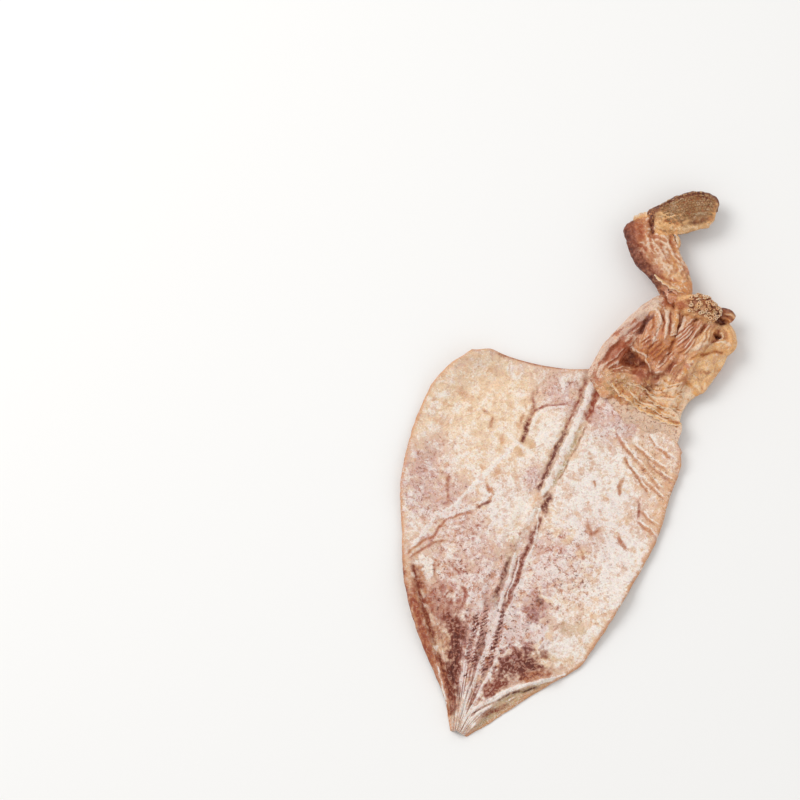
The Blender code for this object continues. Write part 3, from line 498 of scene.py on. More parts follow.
# Ribbons of thin skin: the line each stands on, its height, how far it leans out to the right of
# its line (0 upright, 1 flat), the size of its ripples, the piece that it grows from
Frill = namedtuple("Frill", "points height lean ripple host")
FRILLS = (
    Frill(((9.5, 95.8, 7), (15.3, 92.4, 7), (23.1, 90.7, 7), (30.9, 89, 7), (38.4, 88.2, 7),
           (45.9, 87.4, 6), (50.6, 88.6, 5)), 1.5, 0.7, 0.5, "head"),
    Frill(((22, 93, 7), (27.6, 91.4, 7), (33, 92, 7), (39.8, 90.6, 7), (46.4, 90.6, 6)),
          1.5, 0.5, 0.5, "head"),
    Frill(((28, 96.4, 8), (34.6, 94.4, 8), (40.5, 95.2, 8), (46, 97, 7)), 1.5, 0.4, 0.5, "head"),
    Frill(((18, 98.6, 8), (25, 99.4, 8), (31, 98.4, 8), (37, 99.6, 8)), 1.2, 0.4, 0.5, "head"),
    Frill(((10.8, 184.2, 12), (13.6, 182.8, 12), (15.2, 180.4, 11), (15.4, 178.2, 10)), 1.8, 0.6, 0.5,
          "folded_arm"),
    Frill(((-3.6, 188, 10), (-6.6, 187.6, 10), (-9.4, 186, 10), (-11.6, 183.6, 10)), 2.4, 0.75, 0.5,
          "folded_arm"),
    Frill(((9.6, 157.4, 14), (13.4, 155.8, 15), (17.6, 154.8, 15), (22, 154, 15), (27, 153.6, 13)),
          1.4, 0.6, 0.4, "folded_arm"),
)
# The cells and thickness of a frill, how deep it is rooted, where its ground is looked for from and
# how far down, and how its height waves and its edge ripples
FRILL_STEP, FRILL_CELLS, FRILL_THICKNESS, FRILL_ROOT = 0.45, 5, 0.45, 0.7
FRILL_HEADING_REACH, FRILL_DROP_FROM, FRILL_DROP = 0.4, 40, 38
FRILL_WAVE, FRILL_WAVE_SIZE, FRILL_RIPPLE_PITCH = 0.6, 2.2, 1.5

# How a brush line wanders and breaks up, the steps it is drawn in, how many half widths around it are
# looked at, and how much its ends fade and its stain frays. Then the slant and wobble of its ticks.
BRUSH_WANDER, BRUSH_WANDER_SIZE, BRUSH_WANDER_SEEDS = 0.9, 4.5, (3.7, 8.1)
BRUSH_BREAK, BRUSH_BREAK_SIZE = 0.5, 2.2
BRUSH_STEP, BRUSH_REACH, BRUSH_TIP, BRUSH_RAGGED = 1.5, 2.6, 0.15, 2.6
TICK_SLANT, TICK_UNEVEN, TICK_EDGES = 0.7, 0.6, (-0.6, 0.5)
PATCH_EDGE, PATCH_RAGGED = 1.4, 5.0
BLOTCH_SIZE, BLOTCH_FINER, BLOTCH_FINER_SHARE = 4.0, 2.3, 0.6
POWDER_COVER = 0.85
# How unevenly a fan's ridges are spread, start, end and stand out, and what its ridges and troughs show
FAN_UNEVEN, FAN_TURN = 0.3, 2.1
FAN_MARGIN, FAN_START_TURN, FAN_END_TURN = 0.12, 2.4, 1.7
FAN_LEAD, FAN_POINTS = 0.1, 7
FAN_FORCE, FAN_FORCE_TURN = 0.75, 1.3
FAN_BLOOM, FAN_BLOOD = 0.75, 0.85

# The mantle's mesh, how its skin flows, its ragged, rippled, rounded and amber edge, its pleats' sway
# and its tail streaks
MANTLE_CELLS, INSIDE_GRID, UNDERSIDE_THINNING, COLUMN_GATHER = (272, 322), 0.4999, 4, 1.15
FLOW_WIDTH, FLOW_STRETCH = 62.0, 5
EDGE_RAGGED, EDGE_RAGGED_SIZE, EDGE_RAGGED_WIDTH, EDGE_RAGGED_FROM = 0.4, 4.0, 5.0, 0.9
EDGE_RIPPLE, EDGE_RIPPLE_SIZE, EDGE_RIPPLE_WIDTH = 0.9, 9.0, 7.0
EDGE_ROUND, EDGE_SHARE, RIM_AMBER_WIDTH = 1.6, 0.4, 1.5
PLEAT_SWAY, PLEAT_SWAY_SIZE = 1.2, 14.0
TAIL_STREAKS_FROM, TAIL_STREAKS_FULL, TAIL_STREAKS_WIDTH = 0.45, 0.2, 9.0

# The tubes: their domed ends, and how far to each side of a point its heading is taken
UP, DOWN = Vector((0, 0, 1)), Vector((0, 0, -1))
HEADING_REACH = 0.5
DOME_START, DOME_RINGS, DOME_RINGS_LEAST = 0.05, 1.4, 6
HEAD_TUBE_CELLS = (36, 0.8)
ARM_CELLS, ARM_BLUNTNESS = (150, 0.36), 0.7

# The head's other forms, and how its skin is read off them
LUMP_SUBDIVISIONS = 5
FLAP_SWELL, FLAP_SWELL_POWER, FLAP_LEAN, FLAP_WAVE, FLAP_WAVES = 1.4, 0.8, 2.5, 0.8, 1.5
COLLAR_SKIN_TUCK, COLLAR_SKIN_TUCK_SHARE, COLLAR_SKIN_LAP, COLLAR_SKIN_LOWEST = 4.5, 0.35, 1.5, 0.2
WEB_WAVE_TURNS = (9, 4)
FAN_POLE, FAN_RADIUS = (22.0, 109.0), 25.0
HEAD_SOFTENING, CREST_ROUNDS, ZONE_ROUNDS, ZONE_SPACING = 4, 14, 6, 40
HEAD_FACING_UP, ARM_FACING_UP = (-0.1, 0.45), (-0.1, 0.4)
FRILLS_END_FADE, FLAP_SMOOTHNESS = (0.6, -0.9), 0.7
ZONE_STAINS = {
    "lump": {}, "rib": {"bloom": 0.1},
    "neck_band": {"bloom": 0.5, "mauve": 0.25}, "sucker_arm": {"peach": 0.9, "amber": 0.5},
    "arm_stub": {"blood": 0.7, "amber": 0.5}, "lip_arm": {"peach": 1.0, "amber": 0.2},
    "arm_root": {"amber": 0.5}, "flap": {"peach": 1.0, "amber": 0.1},
    "collar_skin": {"peach": 1.0, "bloom": 0.5},
}

# The folded arm and its club: the flow of their skin, their rims, and where the club's face starts
ARM_FLOW_STRETCH, ARM_FLOW_LEVEL = 4, 7.0
ARM_RIM_ROLL, ARM_RIM_START = 1.3, (4, 14)
CLUB_RIM, CLUB_FACE_START = 0.5, (12, 18)

# Profile of a dried sucker, from its foot over its rim down into its pit: the radius and height of each
# ring as shares of its outer radius, and how much of its pit's stain the ring has
CUP_PROFILE = ((0.8, -0.6, 1.0), (1.0, 0.0, 0.8), (0.95, 0.35, 0.25), (0.7, 0.62, 0.0),
               (0.4, 0.6, 0.05), (0.26, 0.3, 0.5), (0.14, 0.1, 0.8))
# Rows, suckers in a row, from where to where along the arm, and across it: in degrees around the arm,
# but in shares of its breadth on the club
ARM_SUCKERS = (7, 9, (0.40, 0.97), (46, 156))
CLUB_SUCKERS = (10, 18, (0.24, 0.94), (-0.80, 0.40))
# A sucker is looked for from outside the skin, left out where the skin faces too far aside, turned a
# little towards the top, and less broad than long
SUCKER_REACH, SUCKER_SEARCH, SUCKER_FACING = 6.0, 18.0, 0.1
SUCKER_RIGHTING, SUCKER_OVAL = 0.15, 0.88

# How a dried skin is patterned: the sizes in mm of its clouds, patches, mottling, flecks drawn out along
# the flow, and grain, the last drawn coarser than the real half-tenth crystals so that it shows.
# Then the level at which bloom sets in and its softness, how strongly crests take bloom (real powder
# and a painted highlight on the ridges), and how much there is of warmer clouds, bloom, flecks, red creases,
# pale threads, dark specks, oily blots, rosy and mossy hues, breaking up of blood into dots and shade between
# the grains
SkinPattern = namedtuple("SkinPattern", "cloud patch mottle fleck grain bloom_level softness crest_gain "
                                        "clouds bloom flecks creases threads specks blots hues dotting grit")
MANTLE_PATTERN = SkinPattern(cloud=18.0, patch=6.0, mottle=2.2, fleck=1.8, grain=0.8, bloom_level=0.485,
                             softness=0.12, crest_gain=0.08, clouds=0.5, bloom=0.9, flecks=0.8, creases=0.8,
                             threads=0.6, specks=0.9, blots=0.35, hues=0.24, dotting=0.75, grit=0.14)
HEAD_PATTERN = SkinPattern(cloud=11.0, patch=4.5, mottle=1.8, fleck=1.1, grain=0.7, bloom_level=0.54,
                           softness=0.09, crest_gain=0.14, clouds=0.4, bloom=0.8, flecks=0.8, creases=0.8,
                           threads=0.75, specks=0.8, blots=0.3, hues=0.26, dotting=0.4, grit=0.18)
ARM_PATTERN = HEAD_PATTERN._replace(bloom_level=0.53, threads=0.6)
CLUB_PATTERN = SkinPattern(cloud=8.0, patch=4.0, mottle=1.5, fleck=1.1, grain=0.8, bloom_level=0.58,
                           softness=0.08, crest_gain=0.15, clouds=0.1, bloom=0.4, flecks=0.9, creases=0.3,
                           threads=0.2, specks=0.5, blots=0.1, hues=0.15, dotting=0.7, grit=0.35)

# Each piece's skin: its material, whose colours it takes, its pattern, and its roughness without and
# with bloom
SKINS = {
    "mantle": ("air_dried_mantle_flesh", "squid_mantle_colours", MANTLE_PATTERN, (0.46, 0.82)),
    "head": ("air_dried_head_skin", "squid_head_colours", HEAD_PATTERN, (0.4, 0.78)),
    "folded_arm": ("air_dried_arm_skin", "squid_head_colours", ARM_PATTERN, (0.42, 0.8)),
    "club": ("air_dried_club_skin", "squid_club_colours", CLUB_PATTERN, (0.42, 0.8)),
    "suckers": ("dried_horny_suckers", "squid_head_colours", HEAD_PATTERN, (0.35, 0.6)),
    "club_suckers": ("dried_club_suckers", "squid_club_colours", CLUB_PATTERN, (0.35, 0.6)),
    "skin_frills": ("dried_skin_frills", "squid_head_colours", HEAD_PATTERN, (0.4, 0.7)),
}

# The camera, as the photograph was taken, the floor and the two lights
CAMERA_AZIMUTH, CAMERA_ELEVATION = 21.07, 72.0
CAMERA_DISTANCE = 4.0
CAMERA_AIM = (-0.0906, 0.0519, 0.0)
PHOTO_WIDTH, PIXELS_PER_MM = 800, 1.934
FRAME_WIDTH = PHOTO_WIDTH / PIXELS_PER_MM * MM
SENSOR = 36.0
FLOOR_HALF, FLOOR_DROP = 3.0, 0.2 * MM
KEY_PLACE, KEY_SIZE = (-0.75, 0.45, 1.1), 0.9
FILL_PLACE, FILL_SIZE = (0.9, -0.5, 0.9), 1.2


def linear(sight):
    """An sRGB hex colour as linear RGBA."""
    shares = [int(sight[i:i + 2], 16) / 255 for i in (1, 3, 5)]
    return (*[c / 12.92 if c <= 0.04045 else ((c + 0.055) / 1.055) ** 2.4 for c in shares], 1.0)


def colour_property(name, description, sight):
    """A colour that a user can change, its default in sRGB hex."""
    return FloatVectorProperty(name=name, description=description, subtype="COLOR", size=4,
                               min=0.0, max=1.0, default=linear(sight))


def length_property(name, description, millimetres):
    """A length that a user can change, its default in mm."""
    return FloatProperty(name=name, description=description, unit="LENGTH", precision=5,
                         min=0.0, default=millimetres * MM)


class MantleSizes(bpy.types.PropertyGroup):
    thickness: length_property("Thickness", "Thickness of the dried sheet", 2.4)
    edge_thickness: length_property("Edge thickness", "Thickness of the sheet at its edge", 1.3)
    pen_rib: length_property("Pen rib", "Height of the rib over the pen", 0.5)
    pen_groove: length_property("Pen groove", "Depth of the groove on each side of the pen", 0.7)
    pleat: length_property("Pleat", "Height of the pleats at the right shoulder", 0.6)
    pleat_pitch: length_property("Pleat pitch", "Distance between two pleats", 9.0)
    rim_roll: length_property("Rim roll", "Height of the rolled left rim", 3.6)
    fin_fold: length_property("Fin fold", "Height of the folded fin edge", 2.6)
    wrinkle: length_property("Wrinkle", "Height of the shrinkage wrinkles", 0.42)
    wrinkle_width: length_property("Wrinkle width", "Width of one shrinkage wrinkle", 2.4)


class HeadSizes(bpy.types.PropertyGroup):
    voxel: length_property("Voxel", "Grid that melts the head's folds into one skin", 0.42)
    crumple: length_property("Crumple", "Height of the fine wrinkles of head and arms", 0.5)
    crumple_width: length_property("Crumple width", "Width of one fine wrinkle", 1.7)
    sucker: length_property("Sucker", "Outer diameter of an arm's sucker", 2.2)
    club_sucker: length_property("Club sucker", "Outer diameter of a sucker of the club", 1.2)


class MantleColours(bpy.types.PropertyGroup):
    flesh: colour_property("Flesh", "Dried flesh between the stains", "#E0BFA8")
    peach: colour_property("Peach", "Warmer flesh, in broad clouds", "#F5D7B0")
    mauve: colour_property("Mauve", "Rosy clouds left by the pigment skin", "#CFA3A0")
    olive: colour_property("Olive", "Clear windows without bloom", "#B89E74")
    amber: colour_property("Amber", "Oily translucent edges and the rolled rim", "#CB8653")
    fleck: colour_property("Fleck", "Small rust flecks", "#B5704A")
    blood: colour_property("Blood", "Red-brown veins and grooves", "#97442A")
    umber: colour_property("Umber", "Darkest maroon spots", "#582418")
    bloom: colour_property("Bloom", "White powder that dries out on the surface", "#F6EEE6")


class HeadColours(bpy.types.PropertyGroup):
    flesh: colour_property("Flesh", "Dried skin between the stains", "#D18C67")
    peach: colour_property("Peach", "Paler yellowish skin", "#FAD098")
    mauve: colour_property("Mauve", "Bands left by the pigment skin", "#A9716A")
    olive: colour_property("Olive", "Clear membranes", "#B98F58")
    amber: colour_property("Amber", "Oily translucent lips and flaps", "#E29B4C")
    fleck: colour_property("Fleck", "Small flecks and pores", "#A85F3C")
    blood: colour_property("Blood", "Red-brown troughs", "#A4502E")
    umber: colour_property("Umber", "Hollows", "#5A2414")
    bloom: colour_property("Bloom", "Pale powder on the ridges", "#F0D9C4")


class ClubColours(bpy.types.PropertyGroup):
    flesh: colour_property("Flesh", "Beige face of the club", "#9C693E")
    peach: colour_property("Peach", "Paler yellowish skin", "#F6CC96")
    mauve: colour_property("Mauve", "Pigment along the rim", "#8A5E50")
    olive: colour_property("Olive", "Clear places", "#A08A5E")
    amber: colour_property("Amber", "Oily root of the club", "#E8A560")
    fleck: colour_property("Fleck", "Small flecks and pores", "#7E5236")
    blood: colour_property("Blood", "Red-brown creases", "#A0522E")
    umber: colour_property("Umber", "Dark upper rim", "#5A2A1A")
    bloom: colour_property("Bloom", "Pale lower edge", "#F0DCC4")


class StageSettings(bpy.types.PropertyGroup):
    floor: colour_property("Floor", "Plain pale floor", "#F4F3F1")
    key_power: FloatProperty(name="Key light", description="Power of the big soft light", unit="POWER",
                             min=0.0, default=8.4)
    fill_power: FloatProperty(name="Fill light", description="Power of the light that softens the shadows",
                              unit="POWER", min=0.0, default=1.8)
    sky: FloatProperty(name="Sky", description="Strength of the light from all around", min=0.0, default=0.68)


def smooth_step(low, high, value):
    """From 0 at low to 1 at high, level at both ends; low may be the larger one."""
    share = np.clip((value - low) / (high - low), 0.0, 1.0)
    return share * share * (3.0 - 2.0 * share)


def hump(distance, width):
    """1 at no distance, falling smoothly to 0 at about two widths."""
    return np.exp(-((distance / width) ** 2))


def grain(places, size, seed=0.0):
    """Smooth noise from about -1 to 1 at places in mm, with lumps of about that size."""
    return np.array([noise.noise(place) for place in (places / size + seed).tolist()])


def folds(places, size, seed):
    """Noise whose contours, which are winding lines, stand up as ridges of about 0.5."""
    return 0.5 - np.abs(grain(places, size, seed))


def flowing_curve(stations):
    """A smooth curve through (place, value) stations, read at an array of places."""
    places = np.array([place for place, _ in stations], float)
    values = np.array([value for _, value in stations], float)
    last = len(stations) - 1
    before = np.maximum(np.arange(last + 1) - 1, 0)
    after = np.minimum(np.arange(last + 1) + 1, last)
    steps = (places[after] - places[before]).reshape((-1,) + (1,) * (values.ndim - 1))
    slopes = (values[after] - values[before]) / steps

    def read(place):
        place = np.clip(place, places[0], places[-1])
        i = np.minimum(np.searchsorted(places, place, side="right"), last) - 1
        span = places[i + 1] - places[i]
        t = (place - places[i]) / span
        if values.ndim > 1:
            span, t = span[..., None], t[..., None]
        return (values[i] * (1 + 2 * t) * (1 - t) ** 2 + values[i + 1] * t * t * (3 - 2 * t)
                + (slopes[i] * (1 - t) - slopes[i + 1] * t) * (span * t * (1 - t)))

    return read


def spread_evenly(values, length):
    """Stations for flowing_curve, the values spaced evenly over a length."""
    return [(length * i / (len(values) - 1), value) for i, value in enumerate(values)]


def spread_by_distance(points):
    """Stations for flowing_curve, each point at its distance along the chain of points."""
    points = np.array(points, float)
    gaps = np.linalg.norm(np.diff(points, axis=0), axis=1)
    return list(zip(np.concatenate(([0.0], np.cumsum(gaps))), points))


def stand_on(path, distance, reach):
    """The place on a path of mm at a distance along it, and the way it heads there."""
    ahead, behind = (Vector(path(np.array(distance + step))) for step in (reach, -reach))
    return Vector(path(np.array(distance))), ahead - behind


left_edge = flowing_curve(LEFT_EDGE)
right_edge = flowing_curve(RIGHT_EDGE)
pen_line = flowing_curve(PEN_LINE)
left_curl = flowing_curve(LEFT_CURL)
right_curl = flowing_curve(RIGHT_CURL)
frills_end = flowing_curve(FRILLS_END)


def collar_drop(across):
    """How far the collar lies below its peak; across is -1 at the left edge, 1 at the right."""
    drops = []
    for shape, edge in ((LEFT_COLLAR, LEFT_EDGE), (RIGHT_COLLAR, RIGHT_EDGE)):
        aside = np.abs(across * edge[-1][1])
        drops.append(shape["fall"] * (1 - np.exp(-((aside / shape["reach"]) ** shape["power"])))
                     + shape["corner"] * smooth_step(*shape["corner_span"], aside))
    return np.where(across < 0, *drops)


def mantle_place(across, along):
    """Where points of the sheet lie on the floor, and their distance from the nearer edge."""
    middle = (along - 0.5) * MANTLE_LENGTH
    y = middle - collar_drop(across) * smooth_step(COLLAR_FALL_FROM, 1.0, along)
    pen = pen_line(middle)
    edge = np.where(across < 0, left_edge(y), right_edge(y))
    return pen + (edge - pen) * np.abs(across), y, np.abs(edge - pen) * (1 - np.abs(across))


def mantle_lift(x, y, across, along, inset, rim_roll):
    """Height of the sheet's underside over the floor, below zero where it rests."""
    lift = np.where(across < 0, left_curl(along), right_curl(along)) * hump(inset, CURL_WIDTH) - REST_SINK
    lift += COLLAR_CURL * smooth_step(COLLAR_CURL_FROM, 1.0, along)
    for length_x, length_y, phase in WAVES:
        lift += WAVE * np.sin(x / length_x + y / length_y + phase)
    gable = 1 - smooth_step(0, TAIL_GABLE_END, along)
    lift += TAIL_GABLE * gable * (1 - np.abs(across)) ** TAIL_GABLE_POWER
    fade_in, fade_out = RIM_ROLL_FADES
    rolled = smooth_step(*fade_in, along) * (1 - smooth_step(*fade_out, along)) * (across < 0)
    lift += rim_roll * rolled * hump(inset - RIM_ROLL_INSET, RIM_ROLL_WIDTH)
    return lift - REST_PAD_SINK * hump(np.hypot(x, y), REST_PAD_RADIUS)


def fin_fold(across, along, inset):
    """1 on the lip of the folded fin edge, falling to 0 around it, and how much of it is strip."""
    width = FIN_FOLD_WIDTH * np.sin(np.pi * np.minimum(along / FIN_FOLD_END, 1.0))
    folded = (smooth_step(0.0, FIN_FOLD_FADE, along) * (across > 0)
              * (1 - smooth_step(FIN_FOLD_END - FIN_FOLD_FADE, FIN_FOLD_END, along)))
    lip = smooth_step(width - FIN_FOLD_STEP, width, inset) * hump(inset - width, FIN_FOLD_SLOPE)
    return folded * lip, folded * (1 - smooth_step(width - FIN_FOLD_STEP, width, inset))


class Canvas:
    """Points of a skin being sculpted: places in mm, how far each is raised, and its stains."""

    def __init__(self, places, facing_up):
        self.places = places
        self.facing_up = facing_up
        self.raised = np.zeros(len(places))
        self.stains = {name: np.zeros(len(places)) for name in STAINS}
        wander = [grain(places, BRUSH_WANDER_SIZE, seed) for seed in BRUSH_WANDER_SEEDS]
        self.brushed = places[:, :2] + BRUSH_WANDER * np.stack(wander, axis=1)
        self.broken = 1 + BRUSH_BREAK * grain(places, BRUSH_BREAK_SIZE, seed=5.3)
        self.blotches = (grain(places, BLOTCH_SIZE, seed=2.9)
                         + BLOTCH_FINER_SHARE * grain(places, BLOTCH_SIZE / BLOTCH_FINER, seed=7.1))

    def stain(self, amount, **stains):
        """Adds stains; powder covers the blood under it, and a stain below zero is wiped away."""
        for name, strength in stains.items():
            more = np.clip(abs(strength) * amount, 0, 1)
            if strength < 0:
                self.stains[name] *= 1 - more
                continue
            self.stains[name] = 1 - (1 - self.stains[name]) * (1 - more)
            if name == "bloom":
                for dark in ("blood", "umber"):
                    self.stains[dark] *= 1 - POWDER_COVER * more

    def ragged(self, amount, most):
        """A soft amount of stain with its edges blotched."""
        return np.clip(amount + most * self.blotches * amount * (1 - amount), 0, 1)

    def draw(self, *marks):
        """Draws brush lines, fans of ridges and patches in their order."""
        for mark in marks:
            if isinstance(mark, Patch):
                self.lay_patch(mark)
            elif isinstance(mark, RidgeFan):
                self.draw(*fan_lines(mark))
            else:
                self.draw_line(mark)

    def draw_line(self, mark):
        """Draws one brush line on the side that faces up."""
        stations = spread_by_distance(mark.points)
        length = stations[-1][0]
        line = flowing_curve(stations)(np.linspace(0, length, max(int(length / BRUSH_STEP), 2)))
        reach = BRUSH_REACH * mark.width
        near = np.all((self.brushed > line.min(0) - reach) & (self.brushed < line.max(0) + reach), axis=1)
        near = np.flatnonzero(near & (self.facing_up > 0))
        if not len(near):
            return
        start, step = line[:-1], np.diff(line, axis=0)
        offset = self.brushed[near][:, None] - start
        share = np.clip((offset * step).sum(2) / (step * step).sum(1), 0, 1)
        gap = np.linalg.norm(offset - share[..., None] * step, axis=2)
        nearest = gap.argmin(1)
        rows = np.arange(len(near))
        run = (nearest + share[rows, nearest]) / len(step)
        tip = np.clip(np.minimum(run, 1 - run) * length / (2 * mark.width), 0, 1)
        weight = hump(gap[rows, nearest], mark.width) * np.sqrt(tip + BRUSH_TIP * (1 - tip))
        if mark.ticks:
            along, beside = step[nearest].T, offset[rows, nearest].T
            aside = (along[0] * beside[1] - along[1] * beside[0]) / BRUSH_STEP
            phase = (run * length + TICK_SLANT * aside) / mark.ticks + TICK_UNEVEN * self.blotches[near]
            weight *= smooth_step(*TICK_EDGES, np.sin(math.tau * phase))
        amount = np.zeros(len(self.places))
        amount[near] = weight * self.facing_up[near]
        self.raised += mark.height * amount
        self.stain(self.ragged(amount, BRUSH_RAGGED) * self.broken, **mark.stains)

    def lay_patch(self, mark):
        """Lays one soft oval of stain on the side that faces up, and returns how much of it is where."""
        turn = math.radians(mark.turn)
        x, y = (self.brushed - np.array(mark.centre)).T
        long = (x * math.cos(turn) + y * math.sin(turn)) / mark.size[0]
        broad = (y * math.cos(turn) - x * math.sin(turn)) / mark.size[1]
        amount = np.exp(-((long * long + broad * broad) ** PATCH_EDGE))
        amount = self.ragged(amount, PATCH_RAGGED) * self.facing_up
        self.stain(amount * self.broken, **mark.stains)
        return amount


def fan_lines(fan):
    """The brush lines of a fan's ridges, each a little different, and of the trough beside each."""
    first, last = np.array(fan.first), np.array(fan.last)
    pitch = 1 / (fan.count - 1)
    marks = []
    for i in range(fan.count):
        share = i * pitch + FAN_UNEVEN * pitch * math.sin(FAN_TURN * i)
        start = FAN_MARGIN + FAN_MARGIN * math.sin(FAN_START_TURN * i)
        end = 1 - FAN_MARGIN + FAN_MARGIN * math.cos(FAN_END_TURN * i)
        line = flowing_curve(spread_evenly(first + (last - first) * share, 1.0))
        line = line(np.linspace(start - FAN_LEAD, end, FAN_POINTS))
        force = fan.strength * (FAN_FORCE + (1 - FAN_FORCE) * math.sin(FAN_TURN * FAN_FORCE_TURN * i + 1))
        beside = line + (last - first).mean(0) * 0.5 * pitch
        marks.append(stroke(fan.width, fan.height * force, *line, bloom=force * FAN_BLOOM))
        marks.append(stroke(fan.width, -fan.height * force, *beside, blood=force * FAN_BLOOD))
    return marks


def to_mesh(bm, name):
    """Turns a bmesh into a new mesh."""
    mesh = bpy.data.meshes.new(name)
    bm.to_mesh(mesh)
    bm.free()
    return mesh


def picked(items, kind):
    """Those of the items that are of a kind."""
    return [item for item in items if isinstance(item, kind)]


def read_values(items, name, width, kind=np.float32):
    """What each of a mesh's points, edges or entries of a layer holds under a name."""
    values = np.empty(len(items) * width, kind)
    items.foreach_get(name, values)
    return values.reshape(-1, width)


def read_places(mesh):
    """A mesh's vertex places as an array, in its own unit."""
    return read_values(mesh.vertices, "co", 3).astype(float)


def read_normals(mesh):
    """The way each of a mesh's vertices faces."""
    return read_values(mesh.vertices, "normal", 3).astype(float)


def read_edges(mesh):
    """The two vertices of each of a mesh's edges."""
    return read_values(mesh.edges, "vertices", 2, np.int32)


def take_layer(mesh, name):
    """Reads a layer of numbers that only building needed, and removes it."""
    values = read_values(mesh.attributes[name].data, "value", 1)[:, 0].astype(float)
    mesh.attributes.remove(mesh.attributes[name])
    return values


def write_places(mesh, places):
    """Moves a mesh's vertices to places in its own unit."""
    mesh.vertices.foreach_set("co", np.ascontiguousarray(places, np.float32).ravel())
    mesh.update()


def soften(values, edges, rounds):
    """Averages each point's value with its neighbours' along the edges, several times over."""
    values = np.array(values, float)
    columns = values.reshape(len(values), -1)
    ends, others = np.concatenate((edges, edges[:, ::-1])).T
    count = np.maximum(np.bincount(ends, minlength=len(values)), 1)
    for _ in range(rounds):
        for k in range(columns.shape[1]):
            around = np.bincount(ends, weights=columns[others, k], minlength=len(values)) / count
            columns[:, k] = (columns[:, k] + around) / 2
    return values


def raise_skin(mesh, canvas, normals, edges):
    """Moves the skin out as far as it was raised, though not into the floor, and stains its crests pale
    with powder and a painted highlight, and its troughs red-brown with dried blood and painted shade.
    Returns how far each point stands out."""
    places = canvas.places + normals * canvas.raised[:, None]
    places[:, 2] = np.maximum(places[:, 2], 0.0)
    write_places(mesh, places)
    crest = ((places - soften(places, edges, CREST_ROUNDS)) * normals).sum(1)
    # Painted light as well as real powder and blood: crests are whitened as a painted highlight, troughs
    # reddened as painted shade
    canvas.stain(smooth_step(0.10, 0.45, crest) * canvas.facing_up, bloom=0.7)
    canvas.stain(smooth_step(-0.10, -0.40, crest), blood=0.6)
    return crest


def add_node(tree, kind, inputs=None, **settings):
    """Adds a node; an input is a value or another node's output, found by its name or number."""
    node = tree.nodes.new(kind)
    for name, value in settings.items():
        setattr(node, name, value)
    for key, value in (inputs or {}).items():
        if isinstance(value, bpy.types.NodeSocket):
            tree.links.new(value, node.inputs[key])
        else:
            node.inputs[key].default_value = value
    return node


